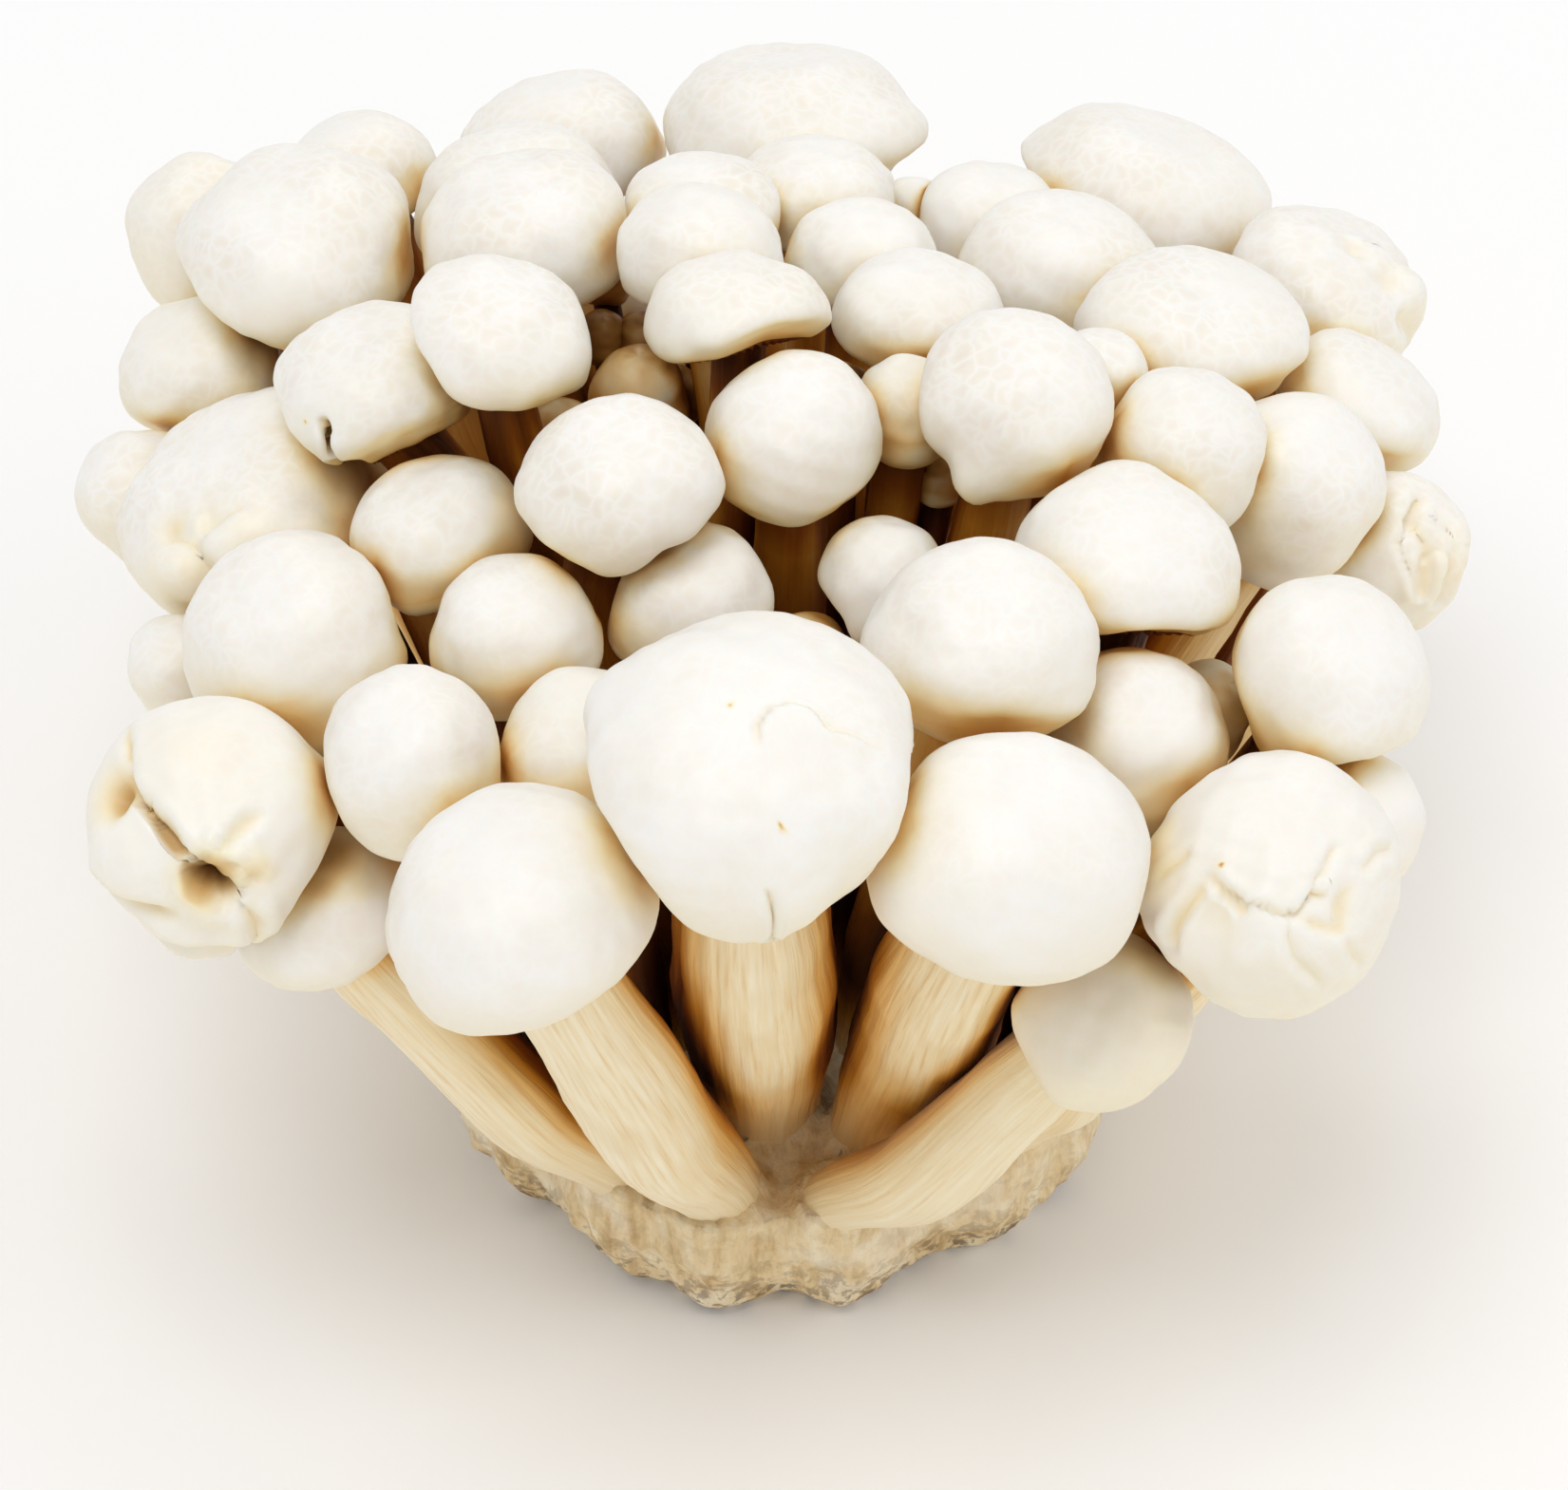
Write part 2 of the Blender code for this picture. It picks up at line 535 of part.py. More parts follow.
def mushroom_mesh(shape, shapes):
    """Points and triangles of one mushroom: a crown, rings over the cap and down the stem, a foot."""
    crown, rings = cap_rings(shape)
    neighbours = neighbours_of(shape, shapes)
    points = np.vstack([crown[None], *rings])
    for _ in range(PRESS_ROUNDS):
        for direction, limit in neighbours:
            points = press(points, shape.middle, direction, limit, PRESS_SOFT * shape.half)
    body = stem_rings(shape)
    centres = [ring.mean(axis=0) for ring in body]
    body = [press_stem(ring, centre, shape, shapes) for ring, centre in zip(body, centres)]
    skin = np.vstack([points, *body[:-1]])
    skin += shape.draw.uniform(-UNEVEN, UNEVEN, skin.shape)
    heel = shape.line[0] - np.array([0.0, 0.0, FOOT_BULGE])
    points = np.vstack([skin, body[-1], heel[None]])
    sides, count = shape.sides, len(rings) + len(body)
    faces = []
    for side in range(sides):
        after = (side + 1) % sides
        faces.append((0, 1 + side, 1 + after))
        for ring in range(count - 1):
            upper, lower = 1 + ring * sides, 1 + (ring + 1) * sides
            faces.append((upper + side, lower + side, lower + after))
            faces.append((upper + side, lower + after, upper + after))
        last = 1 + (count - 1) * sides
        faces.append((last + side, 1 + count * sides, last + after))
    return points, faces


def material(name, colour, roughness):
    made = bpy.data.materials.new(name)
    made.use_nodes = True
    shader = made.node_tree.nodes["Principled BSDF"]
    shader.inputs["Base Color"].default_value = colour
    shader.inputs["Roughness"].default_value = roughness
    shader.inputs["Metallic"].default_value = 0.0
    return made


def add_object(name, points, faces, origin, clump, finish):
    """An object whose own origin is where it stands: a mushroom's is the middle of its foot."""
    mesh = bpy.data.meshes.new(name)
    mesh.from_pydata([tuple((p - origin) * MM) for p in points], [], faces)
    work = bmesh.new()
    work.from_mesh(mesh)
    bmesh.ops.recalc_face_normals(work, faces=work.faces)
    work.to_mesh(mesh)
    work.free()
    mesh.materials.append(finish)
    mesh.shade_smooth()
    mesh.set_sharp_from_angle(angle=math.radians(SMOOTH_UP_TO))
    made = bpy.data.objects.new(name, mesh)
    made.location = tuple(origin * MM)
    made.parent = clump
    bpy.context.scene.collection.objects.link(made)
    return made


def base_mesh(shapes):
    """The base: a squat block whose outline follows the outermost feet on it."""
    centre = np.array(BASE_CENTRE)
    angles = 2 * math.pi * np.arange(BASE_SIDES) / BASE_SIDES
    rays = np.column_stack([np.cos(angles), np.sin(angles)])
    reach = np.full(BASE_SIDES, BASE_RADIUS * BASE_LEAST)
    for shape in shapes:
        out = shape.foot[:2] - centre
        along = rays @ out
        off = np.linalg.norm(out - along[:, None] * rays, axis=1)
        hit = (along > 0) & (off < shape.foot_radius)
        tip = along + np.sqrt(np.maximum(shape.foot_radius**2 - off**2, 0))
        reach = np.where(hit, np.maximum(reach, tip), reach)
    reach = BASE_EDGE + (1 - 2 * BASE_SOFT) * reach + BASE_SOFT * (np.roll(reach, 1) + np.roll(reach, -1))
    for waves, high, turn in BASE_WAVES:
        reach += high * np.sin(waves * angles + turn)
    outline = list(zip(rays, reach))
    points = []
    for height, proud in BASE_SECTION:
        for ray, far in outline:
            points.append(np.array([*(centre + ray * (far + proud)), height]))
    top, bottom = len(points), len(points) + 1
    points.append(np.array([*centre, BASE_HEIGHT]))
    points.append(np.array([*centre, 0.0]))
    faces = []
    last = (len(BASE_SECTION) - 1) * BASE_SIDES
    for side in range(BASE_SIDES):
        after = (side + 1) % BASE_SIDES
        faces.append((bottom, after, side))
        faces.append((top, last + side, last + after))
        for level in range(len(BASE_SECTION) - 1):
            low, high = level * BASE_SIDES, (level + 1) * BASE_SIDES
            faces.append((low + side, low + after, high + after))
            faces.append((low + side, high + after, high + side))
    return points, faces


def fuse(name, members):
    """Joins a bunch's members, which overlap at their shared foot, into one body."""
    whole = members[0]
    rest = bpy.data.collections.new(name + "_members")
    bpy.context.scene.collection.children.link(rest)
    for member in members[1:]:
        bpy.context.scene.collection.objects.unlink(member)
        rest.objects.link(member)
    union = whole.modifiers.new("join", "BOOLEAN")
    union.operation = "UNION"
    union.operand_type = "COLLECTION"
    union.collection = rest
    union.solver = "EXACT"
    bpy.context.view_layer.update()
    graph = bpy.context.evaluated_depsgraph_get()
    joined = bpy.data.meshes.new_from_object(whole.evaluated_get(graph))
    whole.modifiers.clear()
    whole.data = joined
    for member in members[1:]:
        bpy.data.objects.remove(member)
    bpy.data.collections.remove(rest)
    whole.name = name


def main():
    for old in list(bpy.data.objects):
        bpy.data.objects.remove(old)
    clump = bpy.data.objects.new("clump", None)
    bpy.context.scene.collection.objects.link(clump)
    shapes = all_shapes()
    settle_caps(shapes)
    settle_feet(shapes)
    settle_stems(shapes)
    bunches = {}
    for shape in shapes:
        points, faces = mushroom_mesh(shape, shapes)
        finish = material(shape.node + "_flesh", WHITE_FLESH, FLESH_ROUGHNESS)
        made = add_object(shape.node, points, faces, shape.line[0], clump, finish)
        if shape.shares_foot:
            bunches.setdefault(shape.node, []).append(made)
    for name, members in bunches.items():
        fuse(name, members)
    finish = material("base_flesh", CREAM_BASE, BASE_ROUGHNESS)
    add_object("base", *base_mesh(shapes), np.zeros(3), clump, finish)


main()
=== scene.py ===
"""Looks for the white beech mushroom clump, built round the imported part."""

import math

import bpy
import numpy as np
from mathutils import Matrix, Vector
from mathutils.bvhtree import BVHTree


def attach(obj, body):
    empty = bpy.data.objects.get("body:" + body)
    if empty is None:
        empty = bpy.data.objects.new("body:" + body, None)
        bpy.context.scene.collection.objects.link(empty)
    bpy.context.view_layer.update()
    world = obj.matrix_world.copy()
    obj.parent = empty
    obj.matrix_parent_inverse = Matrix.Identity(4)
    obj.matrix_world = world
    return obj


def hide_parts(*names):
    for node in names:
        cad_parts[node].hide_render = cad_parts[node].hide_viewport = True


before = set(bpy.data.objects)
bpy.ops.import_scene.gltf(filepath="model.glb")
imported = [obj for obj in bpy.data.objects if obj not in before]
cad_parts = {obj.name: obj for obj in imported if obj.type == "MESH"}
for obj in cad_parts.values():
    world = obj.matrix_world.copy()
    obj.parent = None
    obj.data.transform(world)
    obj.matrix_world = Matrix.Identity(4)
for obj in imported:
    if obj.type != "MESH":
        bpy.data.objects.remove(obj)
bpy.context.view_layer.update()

MM = 0.001
TINY = 1e-9
FAR = 1e3  # in mm, more than across the clump

# The camera: the picture's width and the focal length in its pixels, the sensor's width in mm,
# the rise in degrees, and the rest in metres
PHOTO_WIDTH = 1651
FOCAL_LENGTH = 6300.0
SENSOR = 36.0
RISE = 45.0
DISTANCE = 0.630
AIM = (0.0, 0.0, 0.0475)
NEAREST = 0.02

# The rings of a packed mushroom, counted from its crown
WIDEST_RING, LIP_RING, GILL_RING, STEM_RING = 3, 5, 6, 7
FEWEST_SIDES = 8
CROWN_LINKS = 5  # edges that meet in each point next to a crown
SAME_POINT = 6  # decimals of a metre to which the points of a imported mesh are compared
FOOT_DEPTH = 0.6  # how far up from a node's lowest point its foot goes, in mm
FOOT_AWAY = 2.0  # a stem whose last ring is further up than this lacks its foot ring
FOOT_SHARE = 0.7  # how thick such a stem comes down, as a share of the foot it shares
SUNK = 3.0  # how far a stem goes on into the base, in mm

# How many fine rows go between one packed ring and another, on a plain cap and on one with folds
PLAIN_ROWS = (26, 8, 8, 21)
FOLDED_ROWS = (42, 13, 10, 24)

# How many columns go round a cap, by the width in mm that it has at least
PLAIN_COLUMNS, FOLDED_COLUMNS = ((23.0, 132), (14.5, 88), (0.0, 64)), 204
KNOT_POWER = 0.8  # how fast the distance between rows counts along a curve

# Small mushrooms that fill a bunch out, as the place of the crown and the cap's width in mm
FILLERS = {
    "bunch_middle_left": (
        ((-14.8, 29.0, 81.5), 7.5), ((-11.5, 23.5, 79.0), 6.5), ((-26.5, 22.0, 80.0), 7.0)
    ),
}

# The first mushroom's seed, and what each pattern adds to its mushroom's seed
FIRST_SEED = 100
SHORT_WAVES_SEED, FIBRES_SEED, CLOUD_SEED, FINE_CLOUD_SEED, RAGGED_SEED, WEB_SEED = 1, 2, 5, 6, 7, 8

# How plain the web of pale lines shows, by the first letter of the second word in a node's name
WEB_SHOWS = {"a": 0.35, "b": 0.65, "c": 0.8}

# How many waves make up a lumpy surface, and how far their sizes differ
LUMP_WAVES, LUMP_SIZES = 12, (0.6, 1.4)

# What is left of each wave round a cap: its middle and its round whole, then less and less
CAP_WAVES = (1.0, 1.0, 0.9, 0.62, 0.45, 0.3, 0.2)

# Painted shade comes from rays off a point: how many, from how far off the skin, and how far they reach,
# in mm
RAYS = 28
ASLANT = (0.3, 0.5, 0.81)  # a slanting way, from which the ways beside a normal come
RAY_START = 0.5
RAY_REACH = 26.0
NEAR_REACH = 4.2
SHADE_ROWS, SHADE_COLUMNS = 3, 6  # one row and one column in so many casts rays
DEEP_SHADE, DEEP_FROM = 1.25, 0.45  # how much a deep place darkens a cap with painted shade, and from what depth on

# Heights in mm between which the painted shade grows to its whole, as light comes in over the base's edge
FOOT_LIGHT, FOOT_SHADE = (18.0, 34.0), 0.35

# More painted shade on mushrooms that sit sunk among their neighbours
SUNK_SHADE = {
    "mushroom_b3": 0.06,
    "mushroom_c4": 0.20,
    "mushroom_e5": 0.04,
    "bunch_middle": 0.12,
    "bunch_middle_left": 0.26,
}


def unit(vectors):
    return vectors / np.maximum(np.linalg.norm(vectors, axis=-1, keepdims=True), TINY)


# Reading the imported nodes

def merged(node):
    """A node's points in mm, each one once, and its triangles."""
    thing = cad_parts[node]
    mesh = thing.data
    mesh.calc_loop_triangles()
    points = np.empty(len(mesh.vertices) * 3)
    mesh.vertices.foreach_get("co", points)
    corners = np.empty(len(mesh.loop_triangles) * 3, dtype=np.int32)
    mesh.loop_triangles.foreach_get("vertices", corners)
    world = np.array(thing.matrix_world)
    points = points.reshape(-1, 3) @ world[:3, :3].T + world[:3, 3]
    points, where = np.unique(np.round(points, SAME_POINT), axis=0, return_inverse=True)
    return points / MM, where.reshape(-1)[corners].reshape(-1, 3)


def walk_down(crown, links, after):
    """The rings of points that follow a crown down, as far as they can be told."""
    around = links[crown]
    ring = [min(around)]
    while len(ring) < len(around):
        ring.append(after[crown][ring[-1]])
    rings, seen = [ring], {crown, *ring}
    while True:
        lower = []
        for here, beside in zip(ring, [ring[-1], *ring]):
            shared = (links[here] & links[beside]) - seen
            if len(shared) != 1:
                return rings
            lower.append(shared.pop())
        if len(set(lower)) < len(ring):
            return rings
        rings.append(lower)
        seen |= set(lower)
        ring = lower


def mushrooms_of(node):
    """Each mushroom in a node, as its crown and the rings that follow it down, and the node's foot."""
    points, triangles = merged(node)
    links = [set() for _ in points]
    after = [{} for _ in points]
    for a, b, c in triangles.tolist():
        for one, two, three in ((a, b, c), (b, c, a), (c, a, b)):
            links[one] |= {two, three}
            after[one][two] = three
    middle_height = (points[:, 2].min() + points[:, 2].max()) / 2
    found = []
    for crown, around in enumerate(links):
        if len(around) < FEWEST_SIDES or points[crown][2] < middle_height:
            continue
        if all(len(links[v]) == CROWN_LINKS for v in around):
            found.append((points[crown], points[np.array(walk_down(crown, links, after))]))
    whole = [(crown, rings) for crown, rings in found if len(rings) > STEM_RING]
    for crown, rings in found:
        if 1 < len(rings) <= STEM_RING:
            whole.append(like_another(crown, spread(rings[1]) / spread(whole[0][1][1]), *whole[0]))
    for place, width in FILLERS.get(node, ()):
        size = width / 2 / spread(whole[0][1][WIDEST_RING])
        whole.append(like_another(place, size, *whole[0]))
    foot = points[points[:, 2] < points[:, 2].min() + FOOT_DEPTH]
    return whole, foot


def spread(ring):
    """A ring's mean radius."""
    return np.linalg.norm(ring - ring.mean(axis=0), axis=1).mean()


def like_another(crown, size, whole_crown, whole_rings):
    """A mushroom with its crown there, formed as a whole one of its bunch but of another size."""
    return crown, crown + (whole_rings[: STEM_RING + 1] - whole_crown) * size


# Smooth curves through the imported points

def smoothed(points, axis):
    """Points that close round along an axis, each drawn towards the two beside it."""
    return 0.5 * points + 0.25 * (np.roll(points, 1, axis=axis) + np.roll(points, -1, axis=axis))


def round_about(rings, count, kept=()):
    """Rings with so many points each, on a smooth closed curve. Of each wave round it, so much is kept."""
    sides = rings.shape[1]
    waves = np.fft.rfft(rings, axis=1)
    if sides % 2 == 0:
        waves[:, sides // 2] *= 0.5
    for number, share in enumerate(kept[: waves.shape[1]]):
        waves[:, number] *= share
    return np.fft.irfft(waves, n=count, axis=1) * count / sides


def spline_weights(knots, places):
    """What each knot adds at each place of the smoothest curve through them all."""
    count = len(knots)
    gap = np.diff(knots)
    system, right = np.eye(count), np.zeros((count, count))
    for k in range(1, count - 1):
        system[k, k - 1 : k + 2] = gap[k - 1], 2 * (gap[k - 1] + gap[k]), gap[k]
        right[k, k - 1 : k + 2] = 6 / gap[k - 1], -6 / gap[k - 1] - 6 / gap[k], 6 / gap[k]
    bend = np.linalg.solve(system, right)
    k = np.clip(np.searchsorted(knots, places, side="right") - 1, 0, count - 2)
    width = gap[k]
    ahead = (knots[k + 1] - places) / width
    behind = 1 - ahead
    weights = np.zeros((len(places), count))
    rows = np.arange(len(places))
    weights[rows, k] += ahead
    weights[rows, k + 1] += behind
    weights += ((ahead**3 - ahead) * width**2 / 6)[:, None] * bend[k]
    weights += ((behind**3 - behind) * width**2 / 6)[:, None] * bend[k + 1]
    return weights


def chord_knots(rows):
    """How far along each row stands, from the mean distance between rows."""
    steps = np.linalg.norm(np.diff(rows, axis=0), axis=2).mean(axis=1)
    return np.concatenate([[0], np.cumsum(steps**KNOT_POWER)])


def spaced(knots, *runs):
    """Places along the knots, in runs of (first knot, last knot, how many)."""
    parts = [np.linspace(knots[a], knots[b], n, endpoint=False) for a, b, n in runs]
    return np.concatenate([*parts, [knots[runs[-1][1]]]])


def bearings(count):
    """So many bearings, evenly round."""
    return np.linspace(0, 2 * math.pi, count, endpoint=False)


def lumps(points, size, seed):
    """Smooth unevenness with bumps about that size in mm, mostly from -1 to 1."""
    draw = np.random.default_rng(seed)
    ways = unit(draw.normal(size=(LUMP_WAVES, 3))) * (2 * math.pi / size)
    ways = ways * draw.uniform(*LUMP_SIZES, (LUMP_WAVES, 1))
    turns = draw.uniform(0, 2 * math.pi, LUMP_WAVES)
    return np.sin(points @ ways.T + turns).sum(axis=-1) / math.sqrt(LUMP_WAVES)


class Mushroom:
    """One mushroom's fine surface, as a grid of rows down from the crown and columns around."""

    def __init__(self, node, number, crown, rings, foot):
        self.node, self.seed = node, FIRST_SEED + number
        rings = rings.copy()
        rings[GILL_RING] = smoothed(rings[GILL_RING], 0)
        self.width = 2 * spread(rings[WIDEST_RING])
        self.columns = next(count for width, count in PLAIN_COLUMNS if self.width > width)
        to_widest, to_lip, to_stem, of_stem = PLAIN_ROWS
        if node in FORMS:
            self.columns = FOLDED_COLUMNS
            to_widest, to_lip, to_stem, of_stem = FOLDED_ROWS
        self.middle = rings[WIDEST_RING].mean(axis=0)
        self.axis = unit(crown - rings[LIP_RING].mean(axis=0))
        stem = self.whole_stem(rings, foot)
        around = round_about(rings, self.columns, CAP_WAVES)
        beyond = [np.roll(around[k : k + 1], self.columns // 2, axis=1) for k in (1, 0)]
        top = np.broadcast_to(crown, (1, self.columns, 3))
        cap = np.concatenate([*beyond, top, around[: STEM_RING + 1]])
        knots = chord_knots(cap)
        start = len(beyond)
        widest, lip, neck = (start + 1 + ring for ring in (WIDEST_RING, LIP_RING, STEM_RING))
        places = spaced(knots, (start, widest, to_widest), (widest, lip, to_lip), (lip, neck, to_stem))
        cap = np.einsum("mk,kjd->mjd", spline_weights(knots, places), cap)
        stem = round_about(stem, self.columns)
        knots = chord_knots(stem)
        places = np.linspace(knots[0], knots[-1], of_stem + 1)
        stem = np.einsum("mk,kjd->mjd", spline_weights(knots, places), stem)
        self.grid = np.concatenate([cap, stem[1:]])
        self.lip_row = to_widest + to_lip
        self.stem_row = self.lip_row + to_stem
        self.rows = len(self.grid)
        self.deep = np.zeros(self.grid.shape[:2])
        self.near = np.zeros(self.grid.shape[:2])
        self.stain_and_crease_shade = np.zeros(self.grid.shape[:2])
        self.place_grid()

    def whole_stem(self, rings, foot):
        """The stem's rings down to the foot and on into the base."""
        stem = list(rings[STEM_RING:])
        last = stem[-1]
        if last[:, 2].max() > foot[:, 2].max() + FOOT_AWAY:
            spot = foot.mean(axis=0)
            reach = np.linalg.norm((foot - spot)[:, :2], axis=1).max()
            shape = last - last.mean(axis=0)
            shape[:, 2] = 0
            shape *= FOOT_SHARE * reach / np.linalg.norm(shape, axis=1).mean()
            stem.append(spot + shape)
        stem.append(stem[-1] - np.array([0.0, 0.0, SUNK]))
        return np.array(stem)

    def place_grid(self):
        """Keeps each point's share of the way from crown to lip, and its bearing round the axis."""
        self.share = np.ones(self.rows)
        self.share[: self.lip_row + 1] = np.linspace(0, 1, self.lip_row + 1)
        first = unit(np.array([1.0, 0, 0]) - self.axis * self.axis[0])
        second = np.cross(self.axis, first)
        out = self.grid - self.middle
        self.bearing = np.arctan2(out @ second, out @ first)

    def normals(self):
        """The way out of the skin at each point."""
        down = np.gradient(self.grid, axis=0)
        across = (np.roll(self.grid, -1, axis=1) - np.roll(self.grid, 1, axis=1)) / 2
        found = unit(np.cross(down, across))
        found[0] = self.axis
        return found


# Folds, dents and tears, in mm. A place on a cap is given by its shares of the way from the crown
# to the lip: to the right, and to the back

def place_on(m, right, back):
    """Where on a cap that place is."""
    row = math.hypot(right, back) * m.lip_row
    upper = min(int(row), m.lip_row - 1)
    part = row - upper
    turn = math.atan2(back, right)
    found = []
    for k in (upper, upper + 1):
        off = np.angle(np.exp(1j * (m.bearing[max(k, 1)] - turn)))
        found.append(m.grid[k, np.abs(off).argmin()])
    return found[0] * (1 - part) + found[1] * part


def near_path(m, path):
    """How far each point is from a line on the cap, on which side of it, and how far along it."""
    points = [place_on(m, *place) for place in path]
    away, along = np.full(m.grid.shape[:2], FAR), np.zeros(m.grid.shape[:2])
    side = np.ones(m.grid.shape[:2])
    normals = m.normals()
    for k, (start, end) in enumerate(zip(points, points[1:])):
        way = end - start
        share = np.clip((m.grid - start) @ way / max(way @ way, TINY), 0, 1)
        out = m.grid - (start + share[..., None] * way)
        far = np.linalg.norm(out, axis=2)
        closer = far < away
        away = np.where(closer, far, away)
        along = np.where(closer, (k + share) / (len(points) - 1), along)
        side = np.where(closer, np.sign((np.cross(way, out) * normals).sum(axis=2)), side)
    return away, side, along


TAPER_RISE, TAPER_POWER = 5, 0.7  # a line reaches its depth in a fifth of its length
RAGGED_LENGTH = 1.6  # how long the waves of a ragged furrow are
LIPS_AWAY, STAIN_AND_SHADE_WIDE = 1.9, 0.9  # a furrow's lips and its stain with painted shade, by its width
STEP_SOFT, STEP_STAIN_AND_SHADE = 0.25, 0.45  # how softly a step turns over, and how far its stain with painted shade reaches
RIM_POWER = 1.5  # how fast a change to the rim grows towards it


def taper(along, blunt):
    """Fades a line out at its ends, or keeps the full depth at its far end too if that is blunt."""
    ends = along if blunt else np.minimum(along, 1 - along)
    return np.clip(ends * TAPER_RISE, 0, 1) ** TAPER_POWER


def furrow(m, path, deep, wide, stain_and_crease_shade=0.0, lips=0.25, ragged=0.0, blunt=False):
    """Draws a furrow along a line, with raised lips. A negative depth makes a ridge."""
    away, _, along = near_path(m, path)
    if ragged:
        away = np.abs(away + ragged * lumps(m.grid, RAGGED_LENGTH, m.seed + RAGGED_SEED))
    fade = taper(along, blunt)
    cut = np.exp(-((away / wide) ** 2))
    raised = np.exp(-(((away - LIPS_AWAY * wide) / wide) ** 2))
    m.grid = m.grid + m.normals() * ((lips * raised - cut) * deep * fade)[..., None]
    # Stain and painted shade in the furrow's groove
    m.stain_and_crease_shade = np.maximum(m.stain_and_crease_shade, stain_and_crease_shade * fade * np.exp(-((away / (STAIN_AND_SHADE_WIDE * wide)) ** 2)))


def step(m, path, high, wide, stain_and_crease_shade=0.0, blunt=False):
    """Raises the skin on the left of a line and sinks it on the right, as where folds overlap."""
    away, side, along = near_path(m, path)
    fade = taper(along, blunt)
    rise = np.tanh(side * away / STEP_SOFT) * np.exp(-away / wide)
    m.grid = m.grid + m.normals() * (rise * high * fade)[..., None]
    # Stain and painted shade along the step
    m.stain_and_crease_shade = np.maximum(m.stain_and_crease_shade, stain_and_crease_shade * fade * np.exp(-((away / STEP_STAIN_AND_SHADE) ** 2)))


def dent(m, right, back, deep, wide, stain_and_crease_shade=0.0, edge=2.0):
    """Sinks the skin round a place. A negative depth makes a bulge, and a higher edge a steeper side."""
    far = np.linalg.norm(m.grid - place_on(m, right, back), axis=2)
    cut = np.exp(-((far / wide) ** edge))
    m.grid = m.grid - m.normals() * (cut * deep)[..., None]
    # Stain and painted shade in the dent's hollow
    m.stain_and_crease_shade = np.maximum(m.stain_and_crease_shade, stain_and_crease_shade * cut)


def tint(m, right, back, wide, stain_and_crease_shade):
    """Colours the skin round a place without changing its shape."""
    far = np.linalg.norm(m.grid - place_on(m, right, back), axis=2)
    m.stain_and_crease_shade = np.maximum(m.stain_and_crease_shade, stain_and_crease_shade * np.exp(-((far / wide) ** 2)))


def rim(m, bearing, width, out, down=0.0, since=0.55):
    """Moves a stretch of the rim outwards and down. The bearing and the width are in degrees."""
    off = np.degrees(np.angle(np.exp(1j * (m.bearing - math.radians(bearing)))))
    row = np.arange(m.rows)[:, None]
    above = np.clip((m.share[:, None] - since) / (1 - since), 0, 1)
    below = np.clip((m.stem_row - row) / (m.stem_row - m.lip_row), 0, 1)
    weight = np.where(row <= m.lip_row, above**RIM_POWER, below) * np.exp(-((off / width) ** 2))
    outward = m.grid - m.middle
    outward = unit(outward - (outward @ m.axis)[..., None] * m.axis)
    m.grid = m.grid + (outward * out - m.axis * down) * weight[..., None]


def crumple(m, high, size, seed):
    """Makes a whole mushroom uneven, less so at its crown."""
    rough = high * lumps(m.grid, size, seed) * np.clip(m.share * 2, 0, 1)[:, None]
    m.grid = m.grid + m.normals() * rough[..., None]


def form_torn(m):
    """The cap at the front left: folded over itself, with a torn hole that shows its brown inside."""
    tint(m, 0.10, 0.10, 9.0, 0.12)
    dent(m, -0.30, -0.20, -2.0, 4.6)
    dent(m, -0.20, 0.06, 3.0, 2.6, 0.66)
    tint(m, -0.22, 0.07, 3.4, 0.50)
    tint(m, 0.17, -0.31, 3.0, 0.86)
    fold = [(-0.15, 0.13), (-0.10, 0.06), (-0.03, -0.02), (0.03, -0.09), (0.08, -0.16), (0.13, -0.22)]
    furrow(m, fold, 1.8, 0.7, 0.66, lips=0.1)
    step(m, fold, 0.9, 2.6, 0.45, blunt=True)
    hole = [(0.10, -0.24), (0.16, -0.30), (0.22, -0.36), (0.27, -0.41)]
    furrow(m, hole, 4.6, 1.5, 0.96, lips=0.2, ragged=0.2)
    furrow(m, [(0.28, -0.42), (0.30, -0.55), (0.27, -0.70)], 0.9, 0.9, 0.36, lips=0.5)
    furrow(m, [(-0.24, 0.36), (-0.15, 0.22), (-0.15, 0.14)], 0.6, 0.8, 0.40)
    lobe = [(-0.42, -0.16), (-0.33, -0.28), (-0.22, -0.38), (-0.13, -0.42), (0.0, -0.46)]
    furrow(m, lobe, 0.9, 1.0, 0.40)
    furrow(m, [(0.41, -0.05), (0.34, -0.10), (0.28, -0.16), (0.24, -0.19), (0.17, -0.20)], 0.7, 0.8, 0.30)
    furrow(m, [(0.24, -0.24), (0.31, -0.28), (0.36, -0.36)], 0.6, 0.8, 0.32, lips=0.6)
    tint(m, 0.34, -0.29, 2.2, 0.40)
    furrow(m, [(-0.34, -0.52), (-0.10, -0.62), (0.15, -0.70), (0.24, -0.84)], 0.9, 1.1, 0.25, lips=0.6)


